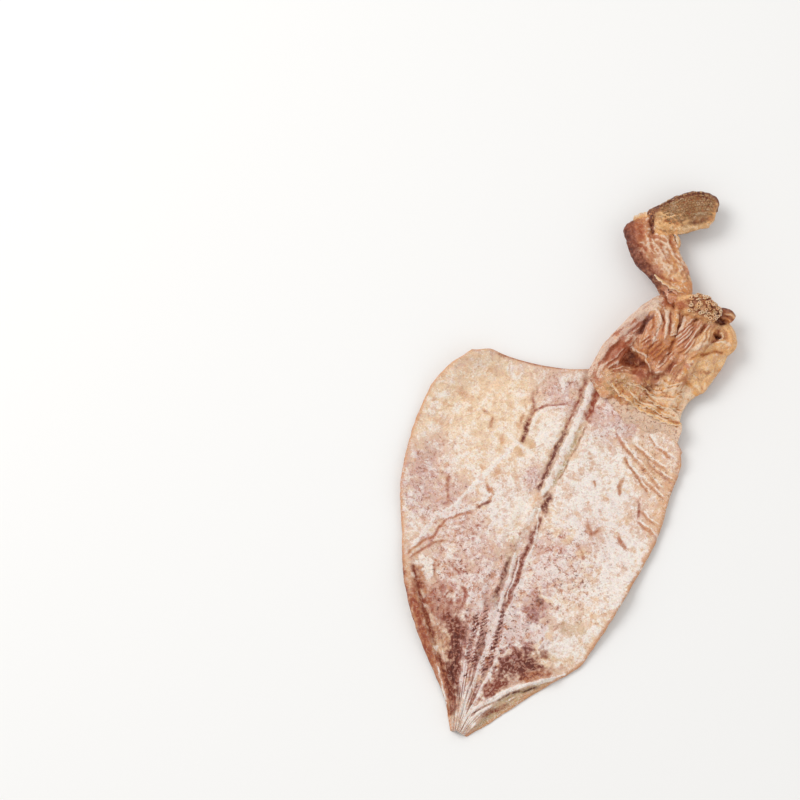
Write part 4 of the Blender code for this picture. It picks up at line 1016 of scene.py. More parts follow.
def dried_skin(name, colours, pattern, roughness):
    """Air-dried squid skin: slightly translucent horn-like flesh, dull and chalky where the white
    bloom dries out on its crests, which are also lightened as a painted highlight, smoother and darker where
    blood and pigment stayed in its troughs, which also carry painted shade."""
    material = bpy.data.materials.new(name)
    material.use_nodes = True
    tree = material.node_tree
    shader = tree.nodes["Principled BSDF"]
    for socket, value in (("IOR", 1.45), ("Metallic", 0.0), ("Subsurface Weight", 0.12),
                          ("Subsurface Radius", (1.0, 0.45, 0.25)), ("Subsurface Scale", 1.4 * MM),
                          ("Specular IOR Level", 0.35)):
        shader.inputs[socket].default_value = value

    # Everything that the colour is mixed from, found by its name; first the stains that were painted
    found = {stain: add_node(tree, "ShaderNodeAttribute", attribute_name=stain).outputs["Fac"]
             for stain in (*STAINS, "crest")}
    where = add_node(tree, "ShaderNodeTexCoord").outputs["Object"]
    flow = add_node(tree, "ShaderNodeAttribute", attribute_name="flow").outputs["Vector"]
    for field, coordinates, size, detail, rough, distortion in (
            ("cloud noise", where, pattern.cloud, 2.0, 0.5, 0.0),
            ("patch noise", where, pattern.patch, 5.0, 0.6, 0.6),
            ("mottle noise", where, pattern.mottle, 5.0, 0.66, 0.7),
            ("fleck noise", flow, pattern.fleck, 3.0, 0.55, 0.3),
            ("grain noise", where, pattern.grain, 3.0, 0.7, 0.0),
            ("crease noise", where, 2.2 * pattern.patch, 3.0, 0.55, 1.2),
            ("vein noise", where, 0.9 * pattern.patch, 2.0, 0.5, 1.6),
            ("blot noise", where, 0.7 * pattern.patch, 2.0, 0.5, 0.4),
            ("thread noise", where, 0.55 * pattern.patch, 3.0, 0.55, 1.8),
            ("speck noise", where, 0.75 * pattern.mottle, 1.5, 0.5, 0.6),
            ("hue noise", where, 0.8 * pattern.mottle, 3.0, 0.6, 0.3)):
        # The scale of a texture is lumps to the metre
        found[field] = add_node(tree, "ShaderNodeTexNoise",
                                {"Vector": coordinates, "Scale": 1.0 / (size * MM), "Detail": detail,
                                 "Roughness": rough, "Distortion": distortion}).outputs["Fac"]
    # A contour of smooth noise is a thin winding line
    for line in ("crease", "vein", "thread"):
        aside = add_node(tree, "ShaderNodeMath", {0: found[f"{line} noise"], 1: 0.5},
                         operation="SUBTRACT").outputs[0]
        found[f"{line} line"] = add_node(tree, "ShaderNodeMath", {0: aside}, operation="ABSOLUTE").outputs[0]

    # Each sum starts at a number and adds others, each times its share; each mask goes from 0 at the
    # first level of its source to its most at the second. The masks read the first sums, and the second
    # sums read the masks.
    # The crest share of the skin level lightens the ridges towards bloom: real powder and a painted highlight
    sums = (
        ("skin level", 0.0, (("patch noise", 0.38), ("mottle noise", 0.25), ("fleck noise", 0.05),
                             ("grain noise", 0.18), ("cloud noise", 0.16), ("crest", pattern.crest_gain),
                             ("bloom", 0.18), ("blood", -0.20), ("umber", -0.24), ("amber", -0.14),
                             ("olive", -0.10))),
        ("fleck level", 0.0, (("fleck noise", 0.10), ("mottle noise", 0.60), ("grain noise", 0.30),
                              ("fleck", -0.06))))
    masks = (
        ("clouds", "cloud noise", 0.42, 0.62, pattern.clouds),
        ("patches", "patch noise", 0.36, 0.58, 1.0),
        ("breaks", "mottle noise", 0.52, 0.44, 1.0),
        ("powder", "skin level", pattern.bloom_level, pattern.bloom_level + pattern.softness, pattern.bloom),
        ("flecks", "fleck level", 0.445, 0.385, pattern.flecks),
        ("specks", "speck noise", 0.41, 0.34, pattern.specks),
        ("dots", "speck noise", 0.60, 0.46, 1.0),
        ("rosy", "hue noise", 0.52, 0.64, pattern.hues),
        ("mossy", "hue noise", 0.46, 0.35, 0.8 * pattern.hues),
        ("blots", "blot noise", 0.60, 0.68, pattern.blots),
        ("creases", "crease line", 0.030, 0.008, pattern.creases),
        ("veins", "vein line", 0.050, 0.015, 0.8 * pattern.creases),
        ("threads", "thread line", 0.040, 0.010, pattern.threads))
    later_sums = (
        ("soft", 0.4, (("patches", 0.6),)),
        ("granular", 1 - 0.6 * pattern.dotting, (("dots", 0.6 * pattern.dotting),)),
        ("dotted", 1 - pattern.dotting, (("dots", pattern.dotting),)),
        ("speckled", 0.15, (("fleck", 0.65), ("patches", 0.2))),
        ("redder", 0.3, (("blood", 0.5), ("mauve", 0.5), ("fleck", 0.5))),
        ("peachy", 0.0, (("peach", 0.2),)),
        ("rosier", 0.0, (("mauve", 0.3), ("rosy", 1.0))),
        ("height", 0.0, (("skin level", 1.0), ("threads", 0.12), ("creases", -0.12))))
    for sum_rows, mask_rows in ((sums, masks), (later_sums, ())):
        for total, start, parts in sum_rows:
            found[total] = start
            for source, share in parts:
                found[total] = add_node(tree, "ShaderNodeMath", {0: found[source], 1: share, 2: found[total]},
                                        operation="MULTIPLY_ADD").outputs[0]
        for mask, source, none, full, most in mask_rows:
            found[mask] = add_node(tree, "ShaderNodeMapRange", {"Value": found[source], "From Min": none,
                                                                "From Max": full, "To Max": most},
                                   interpolation_type="SMOOTHSTEP").outputs["Result"]

    # The colours laid one over the other, each as far as all that is named after it
    colour = tuple(colours.flesh)
    for tint, first, *others in (
            (colours.peach, "clouds"),
            (colours.peach, "peach", "soft"),
            (colours.mauve, "mauve", "soft"),
            (colours.olive, "olive", "soft"),
            (colours.amber, "amber"),
            (colours.fleck, "flecks", "speckled"),
            (colours.blood, "creases", "breaks", "redder"),
            (colours.bloom, "threads", "patches"),
            (colours.bloom, "powder"),
            (colours.peach, "peachy"),
            (colours.mauve, "rosier"),
            (colours.olive, "mossy"),
            (colours.amber, "blots"),
            (colours.fleck, "veins", "breaks", "redder"),
            (colours.blood, "blood", "granular"),
            (colours.umber, "umber", "dotted"),
            (colours.umber, "specks", "breaks", "fleck")):
        amount = found[first]
        for other in others:
            amount = add_node(tree, "ShaderNodeMath", {0: amount, 1: found[other]},
                              operation="MULTIPLY", use_clamp=True).outputs[0]
        colour = add_node(tree, "ShaderNodeMix", {0: amount, 6: colour, 7: tuple(tint)},
                          data_type="RGBA").outputs[2]
    # Crystals and pores darken and lighten the skin a little from point to point
    shade = add_node(tree, "ShaderNodeMapRange",
                     {"Value": found["grain noise"], "From Min": 0.3, "From Max": 0.7,
                      "To Min": 1 - pattern.grit, "To Max": 1 + 0.45 * pattern.grit}).outputs["Result"]
    colour = add_node(tree, "ShaderNodeMix", {0: 1.0, 6: colour, 7: shade},
                      data_type="RGBA", blend_type="MULTIPLY").outputs[2]
    tree.links.new(colour, shader.inputs["Base Color"])

    rough = add_node(tree, "ShaderNodeMapRange", {"Value": found["powder"], "To Min": roughness[0],
                                                  "To Max": roughness[1]}).outputs["Result"]
    tree.links.new(rough, shader.inputs["Roughness"])
    bump = add_node(tree, "ShaderNodeBump",
                    {"Strength": 0.7, "Distance": 0.34 * MM, "Height": found["height"]})
    tree.links.new(bump.outputs["Normal"], shader.inputs["Normal"])
    return material


def finish_piece(name, mesh, canvas, flow, crest):
    """A finished mesh in mm takes on its skin, rides on the squid's body and stands for its node. Its
    material reads the stains, the crests and the flow of the skin from layers."""
    for stain, values in (*canvas.stains.items(), ("crest", crest)):
        mesh.attributes.new(stain, "FLOAT", "POINT").data.foreach_set("value", values.astype(np.float32))
    layer = mesh.attributes.new("flow", "FLOAT_VECTOR", "POINT")
    layer.data.foreach_set("vector", (flow * MM).astype(np.float32).ravel())
    material, colours, pattern, roughness = SKINS[name]
    mesh.materials.clear()
    mesh.materials.append(dried_skin(material, getattr(bpy.context.scene, colours), pattern, roughness))
    mesh.transform(Matrix.Scale(MM, 4))
    mesh.name = name
    mesh.shade_smooth()
    piece = bpy.data.objects.new(name, mesh)
    bpy.context.scene.collection.objects.link(piece)
    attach(piece, BODY)
    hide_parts(NODE)


def build_mantle(context):
    """The slit mantle, a closed thin sheet, sculpted and stained on its inner, upper face."""
    sizes = context.scene.squid_mantle_sizes
    bm = bmesh.new()
    bmesh.ops.create_grid(bm, x_segments=MANTLE_CELLS[0], y_segments=MANTLE_CELLS[1], size=0.5)
    grown = bmesh.ops.extrude_face_region(bm, geom=bm.faces[:])["geom"]
    for vert in picked(grown, bmesh.types.BMVert):
        vert.co.z = 1.0
    # The smooth underside, at 0, needs far fewer faces than the upper face
    lower = [vert for vert in bm.verts
             if vert.co.z < 0.5 and max(abs(vert.co.x), abs(vert.co.y)) < INSIDE_GRID]
    bmesh.ops.unsubdivide(bm, verts=lower, iterations=UNDERSIDE_THINNING)
    bmesh.ops.recalc_face_normals(bm, faces=bm.faces[:])
    mesh = to_mesh(bm, "mantle")

    shares = read_places(mesh)
    top = shares[:, 2]
    across = np.sign(shares[:, 0]) * np.abs(shares[:, 0] * 2) ** COLUMN_GATHER
    along = shares[:, 1] + 0.5
    x, y, inset = mantle_place(across, along)
    flat = np.stack((x, y, np.zeros(len(x))), axis=1)
    lift = mantle_lift(x, y, across, along, inset, sizes.rim_roll / MM)
    lift += EDGE_RIPPLE * hump(inset, EDGE_RIPPLE_WIDTH) * grain(flat, EDGE_RIPPLE_SIZE, seed=2.2)
    thickness = sizes.thickness / MM
    body = thickness - (thickness - sizes.edge_thickness / MM) * hump(inset, EDGE_THINNING)

    canvas = Canvas(flat, top)
    flow = np.stack((across * FLOW_WIDTH, along * MANTLE_LENGTH / FLOW_STRETCH, np.zeros(len(x))), axis=1)
    from_edge = np.minimum(inset, (1 - along) * MANTLE_LENGTH)
    relief = paint_mantle(canvas, flow, across, along, inset, from_edge, sizes)
    sunk = np.clip(lift, -REST_SINK_LIMIT, 0.0)
    height = np.maximum(body + relief + sunk, THINNEST)
    roundness = np.sqrt(1 - (1 - np.clip(from_edge / EDGE_ROUND, 0, 1)) ** 2)
    height *= EDGE_SHARE + (1 - EDGE_SHARE) * roundness
    # Both faces share the ragged outline, which belongs to the sheet and not to one face
    ragged = EDGE_RAGGED * grain(flat, EDGE_RAGGED_SIZE, seed=6.6) * hump(inset, EDGE_RAGGED_WIDTH)
    places = np.stack((x + ragged * np.sign(across), y + ragged * smooth_step(EDGE_RAGGED_FROM, 1.0, along),
                       np.maximum(lift, 0.0) + top * height), axis=1)
    write_places(mesh, places)
    finish_piece("mantle", mesh, canvas, flow, canvas.raised * top)


def paint_mantle(canvas, flow, across, along, inset, from_edge, sizes):
    """Sculpts and stains the upper face; returns its whole relief. canvas.raised keeps the fine part."""
    x, y = canvas.places[:, 0], canvas.places[:, 1]
    aside = x - pen_line(y)
    shown = smooth_step(*PEN_RIB_START, along)
    coarse = sizes.pen_rib / MM * shown * hump(aside, PEN_RIB_WIDTH)
    for offset in (-PEN_GROOVE_OFFSET, PEN_GROOVE_OFFSET):
        coarse -= sizes.pen_groove / MM * shown * hump(aside - offset, PEN_RIB_WIDTH)
    lip, strip = fin_fold(across, along, inset)
    coarse += sizes.fin_fold / MM * lip
    pleated = smooth_step(*PLEAT_FADES[0], x) * smooth_step(*PLEAT_FADES[1], y)
    course = PLEAT_HEADING[0] * x + PLEAT_HEADING[1] * y
    course += PLEAT_SWAY * grain(canvas.places, PLEAT_SWAY_SIZE, seed=1.1)
    coarse += sizes.pleat / MM * pleated * np.sin(course * math.tau / (sizes.pleat_pitch / MM))

    wrinkle, width = sizes.wrinkle / MM, sizes.wrinkle_width / MM
    streaked = smooth_step(TAIL_STREAKS_FROM, TAIL_STREAKS_FULL, along)
    streaks = grain(flow, width, seed=4.4)
    crumple = grain(canvas.places, width * 1.3, seed=7.7) + 0.5 * grain(canvas.places, width * 0.6, seed=9.2)
    creases = folds(canvas.places, width * 3.2, seed=1.9)
    # The tail is more streaked and less crumpled than the rest
    canvas.raised += wrinkle * (streaks * (0.35 + 0.9 * streaked) + crumple * (0.75 - 0.35 * streaked)
                                + creases * 0.6)
    canvas.draw(*MANTLE_PATCHES.values(), *MANTLE_STROKES.values(), *RUST_FLECKS, *SHOULDER_CREASES)

    top = canvas.facing_up
    by_pen = hump(aside, TAIL_STREAKS_WIDTH)
    canvas.stain(top * streaked * by_pen * smooth_step(0.15, 0.6, streaks), bloom=0.5)
    canvas.stain(top * streaked * by_pen * smooth_step(-0.1, -0.5, streaks), umber=0.5, blood=0.4)
    canvas.stain(top * strip, olive=1, peach=0.4, fleck=0.3, mauve=-0.9)
    canvas.stain(top * lip ** 6, bloom=0.6)
    canvas.stain(hump(from_edge, RIM_AMBER_WIDTH), amber=0.8)
    return coarse + canvas.raised


def pipe(sides, rings):
    """A closed pipe of radius 1 around +Z, extruded ring by ring, each ring 1 above the last: its mesh,
    with the spoke and the ring of each vertex."""
    bm = bmesh.new()
    bmesh.ops.create_circle(bm, cap_ends=True, segments=sides, radius=1.0)
    spoke = bm.verts.layers.float.new("spoke")
    for i, vert in enumerate(bm.verts):
        vert[spoke] = i
    edges = bm.edges[:]
    for i in range(1, rings):
        grown = bmesh.ops.extrude_edge_only(bm, edges=edges)["geom"]
        edges = picked(grown, bmesh.types.BMEdge)
        for vert in picked(grown, bmesh.types.BMVert):
            vert.co.z = i
    bmesh.ops.edgeloop_fill(bm, edges=edges)
    bmesh.ops.recalc_face_normals(bm, faces=bm.faces[:])
    mesh = to_mesh(bm, "pipe")
    return mesh, take_layer(mesh, "spoke"), read_places(mesh)[:, 2].astype(int)


def tube_mesh(tube, sides, step, bluntness=1.0):
    """A flattened tube with a domed end at each side, in rings about a step apart. Returns its mesh, and
    each vertex's distance along the tube, its angle around it and how broad it is there."""
    stations = spread_by_distance(tube.points)
    length = stations[-1][0]
    root_dome, tip_dome = DOME * tube.sizes[0][0], DOME * tube.sizes[-1][0]
    turns = np.linspace(DOME_START, math.pi / 2, max(int(DOME_RINGS * root_dome / step), DOME_RINGS_LEAST))
    domed = [(1 - math.cos(turn), math.sin(turn) ** bluntness) for turn in turns]
    middle = length - root_dome - tip_dome
    steps = max(round(middle / step), 1)
    rings = [(share * root_dome, girth) for share, girth in domed]
    rings += [(root_dome + middle * i / steps, 1.0) for i in range(1, steps)]
    rings += [(length - share * tip_dome, girth) for share, girth in reversed(domed)]
    mesh, spoke, ring = pipe(sides, len(rings))

    path = flowing_curve(stations)
    half_sizes = flowing_curve(spread_evenly(tube.sizes, length))
    distances, girths = np.array(rings).T
    headings = path(distances + HEADING_REACH) - path(distances - HEADING_REACH)
    headings /= np.linalg.norm(headings, axis=1)[:, None]
    level = Vector(headings[0]).cross(UP).normalized()
    side = Matrix.Rotation(math.radians(tube.roll), 3, Vector(headings[0])) @ level
    sideways = []
    for heading in headings:
        side = (side - Vector(heading) * side.dot(Vector(heading))).normalized()
        sideways.append(tuple(side))
    sideways = np.array(sideways)
    upwards = np.cross(sideways, headings)

    # Counted backwards, so that the faces still point outwards on the tube
    angle = -spoke / sides * math.tau
    halves = half_sizes(distances)[ring] * girths[ring][:, None]
    outward = (sideways[ring] * (halves[:, :1] * np.cos(angle)[:, None])
               + upwards[ring] * (halves[:, 1:] * np.sin(angle)[:, None]))
    places = path(distances)[ring] + outward
    places[:, 2] = np.maximum(places[:, 2], 0.0)
    write_places(mesh, places)
    return mesh, distances[ring], angle, np.abs(halves).max(1)


def lump_mesh(centre, half_sizes, turn):
    """A crumpled, flattened ball of the head, sunk in at the hollows."""
    bm = bmesh.new()
    bmesh.ops.create_icosphere(bm, subdivisions=LUMP_SUBDIVISIONS, radius=1.0)
    shape = (Matrix.Translation(centre) @ Matrix.Rotation(math.radians(turn), 4, "Z")
             @ Matrix.Diagonal((*half_sizes, 1.0)))
    for vert in bm.verts:
        outward = vert.co.copy()
        vert.co = shape @ vert.co
        vert.co += outward * (LUMP_CRUMPLE * noise.noise(vert.co / LUMP_CRUMPLE_SIZE))
        if outward.z > 0:
            for x, y, radius, depth in HOLLOWS:
                gap = math.hypot(vert.co.x - x, vert.co.y - y)
                vert.co.z -= depth * math.exp(-((gap / radius) ** 2))
        vert.co.z = max(vert.co.z, 0.0)
    return to_mesh(bm, "lump")


def leaf_mesh(cells, place):
    """A closed skin of one thickness over a grid of shares; place gives its underside."""
    bm = bmesh.new()
    bmesh.ops.create_grid(bm, x_segments=cells[0], y_segments=cells[1], size=0.5)
    for vert in bm.verts:
        vert.co = place(vert.co.x + 0.5, vert.co.y + 0.5)
    grown = bmesh.ops.extrude_face_region(bm, geom=bm.faces[:])["geom"]
    for vert in picked(grown, bmesh.types.BMVert):
        vert.co.z += SKIN_THICKNESS
    bmesh.ops.recalc_face_normals(bm, faces=bm.faces[:])
    return to_mesh(bm, "leaf")


def flap_place(share, along):
    """The pointed flap of skin, from its roots to its tip."""
    root = Vector(FLAP_ROOTS[0]).lerp(Vector(FLAP_ROOTS[1]), share)
    place = root.lerp(Vector(FLAP_TIP), along ** FLAP_TAPER * FLAP_REACH)
    swell = math.sin(math.pi * along ** FLAP_SWELL_POWER)
    place.x += FLAP_SWELL * swell * (2 * share - 1) - FLAP_LEAN * swell * (1 - share)
    place.z += FLAP_BULGE * math.sin(math.pi * along) * 4 * share * (1 - share)
    place.z += FLAP_WAVE * math.sin(math.tau * FLAP_WAVES * share) * along
    return place


def web_place(share, along):
    """The thin skin between the flap and the collar."""
    upper = Vector(WEB_CORNERS[0]).lerp(Vector(WEB_CORNERS[1]), share)
    lower = Vector(WEB_CORNERS[2]).lerp(Vector(WEB_CORNERS[3]), share)
    place = upper.lerp(lower, along)
    place.x -= WEB_HOLLOW * math.sin(math.pi * along) * share
    place.z += WEB_WAVE * math.sin(WEB_WAVE_TURNS[0] * share + WEB_WAVE_TURNS[1] * along)
    return place


def collar_skin_place(share, along):
    """The pleated skin along the collar, from the mantle up onto the head."""
    x = COLLAR_SKIN_SPAN[0] + (COLLAR_SKIN_SPAN[1] - COLLAR_SKIN_SPAN[0]) * share
    collar = MANTLE_LENGTH / 2 - float(collar_drop(np.array(x / RIGHT_EDGE[-1][1])))
    depth = COLLAR_SKIN_DEPTH * (1 - COLLAR_SKIN_NARROWING * share ** 3)
    pleat = COLLAR_SKIN_PLEAT * (1 - COLLAR_SKIN_CALMING * along)
    pleat *= math.sin(math.tau * (COLLAR_SKIN_PLEATS * share + COLLAR_SKIN_LEAN * along))
    # Its lower edge tucks down into the mantle, so that the two grow together
    tuck = COLLAR_SKIN_TUCK * max(1 - along / COLLAR_SKIN_TUCK_SHARE, 0.0) ** 1.5
    return Vector((x, collar - COLLAR_SKIN_OVERLAP - COLLAR_SKIN_LAP + (depth + COLLAR_SKIN_LAP) * along,
                   max(COLLAR_SKIN_HEIGHT + COLLAR_SKIN_RISE * along + pleat - tuck, COLLAR_SKIN_LOWEST)))


def head_forms():
    """(zone, mesh, distance along, distance around) of each form that melts into the head."""
    forms = []
    for lump in HEAD_LUMPS:
        mesh = lump_mesh(*lump)
        x, y = (read_places(mesh)[:, :2] - FAN_POLE).T
        forms.append(("lump", mesh, np.hypot(x, y), FAN_RADIUS * np.arctan2(y, x)))
    root = Tube(BIG_ARM.points[:3], BIG_ARM.sizes[:3], BIG_ARM.roll)
    tubes = [("neck_band", NECK_BAND), ("sucker_arm", SUCKER_ARM), ("arm_stub", ARM_STUB),
             ("lip_arm", LIP_ARM), ("arm_root", root)]
    for i in range(RIB_COUNT):
        share = i / (RIB_COUNT - 1)
        points = [Vector(pair[0]).lerp(Vector(pair[1]), share)
                  for pair in (RIB_NEAR_END, RIB_CROWN, RIB_FAR_END)]
        points[1].x += RIB_SWAY * math.sin(RIB_SWAY_TURN * i)
        width = RIB_HALF_WIDTH[0] + (RIB_HALF_WIDTH[1] - RIB_HALF_WIDTH[0]) * share
        sizes = [(width * broad, width * tall) for broad, tall in RIB_SHAPE]
        tubes.append(("rib", Tube([tuple(point) for point in points], sizes, 0)))
    for zone, tube in tubes:
        mesh, along, angle, half = tube_mesh(tube, *HEAD_TUBE_CELLS)
        forms.append((zone, mesh, along, angle * half))
    for zone, cells, place in (("flap", (30, 30), flap_place), ("collar_skin", (24, 24), web_place),
                               ("collar_skin", (70, 24), collar_skin_place)):
        mesh = leaf_mesh(cells, place)
        x, y, _ = read_places(mesh).T
        forms.append((zone, mesh, y, x))
    return forms


def melt(meshes, voxel):
    """One closed skin around all the meshes, in even small faces."""
    bm = bmesh.new()
    for mesh in meshes:
        bm.from_mesh(mesh)
    joined = to_mesh(bm, "melted")
    carrier = bpy.data.objects.new("melted", joined)
    bpy.context.scene.collection.objects.link(carrier)
    remesh = carrier.modifiers.new("melt", "REMESH")
    remesh.mode = "VOXEL"
    remesh.voxel_size = voxel
    remesh.adaptivity = 0.0
    graph = bpy.context.evaluated_depsgraph_get()
    melted = bpy.data.meshes.new_from_object(carrier.evaluated_get(graph))
    bpy.data.objects.remove(carrier)
    for mesh in (joined, *meshes):
        bpy.data.meshes.remove(mesh)
    drop_specks(melted)
    return melted


def drop_specks(mesh):
    """Deletes the loose specks that the melting grid can leave beside the main skin."""
    bm = bmesh.new()
    bm.from_mesh(mesh)
    unseen, shells = set(bm.verts), []
    while unseen:
        shell = [unseen.pop()]
        for vert in shell:
            fresh = {edge.other_vert(vert) for edge in vert.link_edges} & unseen
            unseen -= fresh
            shell.extend(fresh)
        shells.append(shell)
    specks = [vert for shell in sorted(shells, key=len)[:-1] for vert in shell]
    bmesh.ops.delete(bm, geom=specks, context="VERTS")
    bm.to_mesh(mesh)
    bm.free()


def build_head(context):
    """The crumpled head: lumps, folded ribs, bands, lips and skins melted into one skin, then
    sculpted with its ridges, troughs and hollows."""
    sizes = context.scene.squid_head_sizes
    zones = list(ZONE_STAINS)
    forms = head_forms()
    # Each point of the melted skin takes its flow and its zone from the nearest point of the forms
    points = np.concatenate([read_places(mesh) for _, mesh, _, _ in forms])
    sources = np.concatenate([np.stack((around, along / FLOW_STRETCH, np.full(len(along), zones.index(zone))),
                                       axis=1) for zone, _, along, around in forms])
    near = KDTree(len(points))
    for i, point in enumerate(points):
        near.insert(point, i)
    near.balance()
    mesh = melt([form[1] for form in forms], sizes.voxel / MM)

    edges = read_edges(mesh)
    places = soften(read_places(mesh), edges, HEAD_SOFTENING)
    write_places(mesh, places)
    normals = read_normals(mesh)
    flow = sources[[near.find(place)[1] for place in places]]
    zone_of = flow[:, 2].copy()
    flow[:, 2] *= ZONE_SPACING

    canvas = Canvas(places, smooth_step(*HEAD_FACING_UP, normals[:, 2]))
    x, y = canvas.brushed.T
    below_frills = smooth_step(*FRILLS_END_FADE, y - frills_end(x))
    # The torn skins dried smooth; the rest of the head shrank into fine ribs
    smooth = np.zeros(len(places))
    for index, zone in enumerate(zones):
        inside = soften((zone_of == index).astype(float), edges, ZONE_ROUNDS)
        if zone == "flap":
            smooth = np.maximum(smooth, FLAP_SMOOTHNESS * inside)
        if zone == "collar_skin":
            canvas.stain(inside * below_frills, bloom=1, peach=0.4, mauve=0.25, fleck=0.9)
            smooth = np.maximum(smooth, inside * (0.45 + 0.55 * below_frills))
            inside *= 1 - below_frills
        canvas.stain(inside, **ZONE_STAINS[zone])
    wrinkle, width = sizes.crumple / MM, sizes.crumple_width / MM
    ribbed = grain(flow, width, seed=3.1) * (1 - smooth)
    crumple = grain(places, width * 1.6, seed=6.2)
    # The underside is less wrinkled
    outside = 0.35 + 0.65 * canvas.facing_up
    canvas.raised += wrinkle * (ribbed + 0.55 * crumple + 0.5 * folds(places, width * 3, seed=2.6)) * outside
    canvas.draw(*HEAD_STROKES.values(), *HEAD_FANS, *FRILL_LINES, *HEAD_PATCHES.values())
    canvas.raised -= LIP_HOLE_DEPTH * canvas.lay_patch(LIP_HOLE)
    canvas.stain(smooth_step(0.1, 0.6, -ribbed), blood=0.6)
    # Painted shade: the skin that faces down is darkened with umber
    canvas.stain(smooth_step(0.35, -0.5, normals[:, 2]), umber=0.35)
    finish_piece("head", mesh, canvas, flow, raise_skin(mesh, canvas, normals, edges))


def sculpt_arm(name, tube, sizes, marks, shape, stain_rim):
    """A separate arm: a fine tube, shaped, wrinkled along its length, brushed and stained."""
    mesh, along, angle, half = tube_mesh(tube, *ARM_CELLS, bluntness=ARM_BLUNTNESS)
    edges = read_edges(mesh)
    places = read_places(mesh)
    normals = read_normals(mesh)
    canvas = Canvas(places, smooth_step(*ARM_FACING_UP, normals[:, 2]))
    flow = np.stack((angle * half, along / ARM_FLOW_STRETCH, np.full(len(along), ARM_FLOW_LEVEL)), axis=1)
    loop = np.stack((np.cos(angle) * half, np.sin(angle) * half, along / FLOW_STRETCH), axis=1)
    wrinkle, width = sizes.crumple / MM, sizes.crumple_width / MM
    ribbed = grain(loop, width * 1.5, seed=1.4)
    canvas.raised += wrinkle * (ribbed + 0.6 * grain(places, width * 1.2, seed=5.5)
                                + 1.4 * grain(places, width * 4, seed=8.8))
    # Winding lines on which the skin is drawn up
    drawn_up = folds(places, width * 1.9, seed=4.4) - 0.4 * np.abs(grain(places, width * 1.1, seed=7.4))
    canvas.raised += wrinkle * drawn_up
    shape(canvas, along, angle)
    canvas.draw(*marks)
    crest = raise_skin(mesh, canvas, normals, edges)
    canvas.stain(smooth_step(0.34, 0.46, drawn_up) * canvas.facing_up * canvas.broken, bloom=0.75)
    canvas.stain(smooth_step(0.16, 0.0, drawn_up) * canvas.facing_up, blood=0.5)
    stain_rim(canvas, along, angle)
    finish_piece(name, mesh, canvas, flow, crest)


def shape_folded_arm(canvas, along, angle):
    """Rolls up the arm's left edge."""
    left = hump(np.cos(angle) + 1.0, 0.45)
    started = smooth_step(*ARM_RIM_START, along)
    canvas.raised += ARM_RIM_ROLL * left * smooth_step(-0.3, 0.4, np.sin(angle)) * started


def stain_folded_arm(canvas, along, angle):
    """The rolled left edge is stained darkest, and the underside is darkened with painted shade."""
    started = smooth_step(*ARM_RIM_START, along)
    canvas.stain(hump(np.cos(angle) + 1.0, 0.5) * started * canvas.broken, blood=0.7, mauve=0.5)
    canvas.stain(hump(np.cos(angle) + 1.0, 0.3) * started * canvas.broken, umber=1)
    # Painted shade: the underside of the arm is darkened with umber
    canvas.stain(smooth_step(0.15, -0.35, np.sin(angle)), umber=0.7)


def shape_club(canvas, along, angle):
    """Raises the club's upper rim, all along it."""
    canvas.raised += CLUB_RIM * hump(np.cos(angle) + 1.0, 0.12)


def stain_club(canvas, along, angle):
    """The club's upper rim dried dark and its lower edge pale; its underside is darkened with painted shade.
    """
    canvas.stain(smooth_step(*CLUB_FACE_START, along) * smooth_step(0.75, 0.35, np.cos(angle)), bloom=-0.8)
    canvas.stain(smooth_step(0.72, 0.97, np.cos(angle)) * smooth_step(-0.3, 0.2, np.sin(angle)),
                 umber=-1, blood=-0.6, peach=1, amber=0.35, bloom=0.6)
    canvas.stain(hump(np.cos(angle) + 1.0, 0.16), umber=0.9, blood=0.6)
    # Painted shade: the underside of the club is darkened with umber
    canvas.stain(smooth_step(0.0, -0.5, np.sin(angle)), umber=0.5)


def build_folded_arm(context):
    """The big arm that folds over the head."""
    marks = (*ARM_PATCHES.values(), ARM_FAN, *ARM_STROKES.values())
    sculpt_arm("folded_arm", BIG_ARM, context.scene.squid_head_sizes, marks,
               shape_folded_arm, stain_folded_arm)


def build_club(context):
    """The club at the end of the folded arm."""
    marks = (*CLUB_PATCHES.values(), *CLUB_STROKES.values())
    sculpt_arm("club", CLUB, context.scene.squid_head_sizes, marks, shape_club, stain_club)


def cup_mesh(sides):
    """One sucker of outer radius 1 around +Z, with how much pit stain each vertex has."""
    mesh, _, ring = pipe(sides, len(CUP_PROFILE))
    radius, height, pit = np.array(CUP_PROFILE).T
    x, y, _ = read_places(mesh).T
    write_places(mesh, np.stack((x * radius[ring], y * radius[ring], height[ring]), axis=1))
    return mesh, pit[ring]


def tube_place(tube, share, angle, height):
    """A point over a tube's surface, and the way in to its middle."""
    stations = spread_by_distance(tube.points)
    middle, heading = stand_on(flowing_curve(stations), share * stations[-1][0], HEADING_REACH)
    heading.normalize()
    side = heading.cross(UP).normalized()
    up = side.cross(heading)
    broad, tall = flowing_curve(spread_evenly(tube.sizes, 1.0))(np.array(share))
    outward = side * (broad * math.cos(angle)) + up * (tall * math.sin(angle))
    return middle + outward * (1 + height / outward.length), -outward.normalized()


def sucker_rows(rows, count, span, breadth):
    """Suckers in rows, every other row shifted by half a sucker: the row, the number in the row, the
    share along the arm and the row's place across it."""
    for row in range(rows):
        across = breadth[0] + (breadth[1] - breadth[0]) * row / (rows - 1)
        for i in range(count):
            yield row, i, span[0] + (span[1] - span[0]) * (i + 0.5 * (row % 2)) / count, across


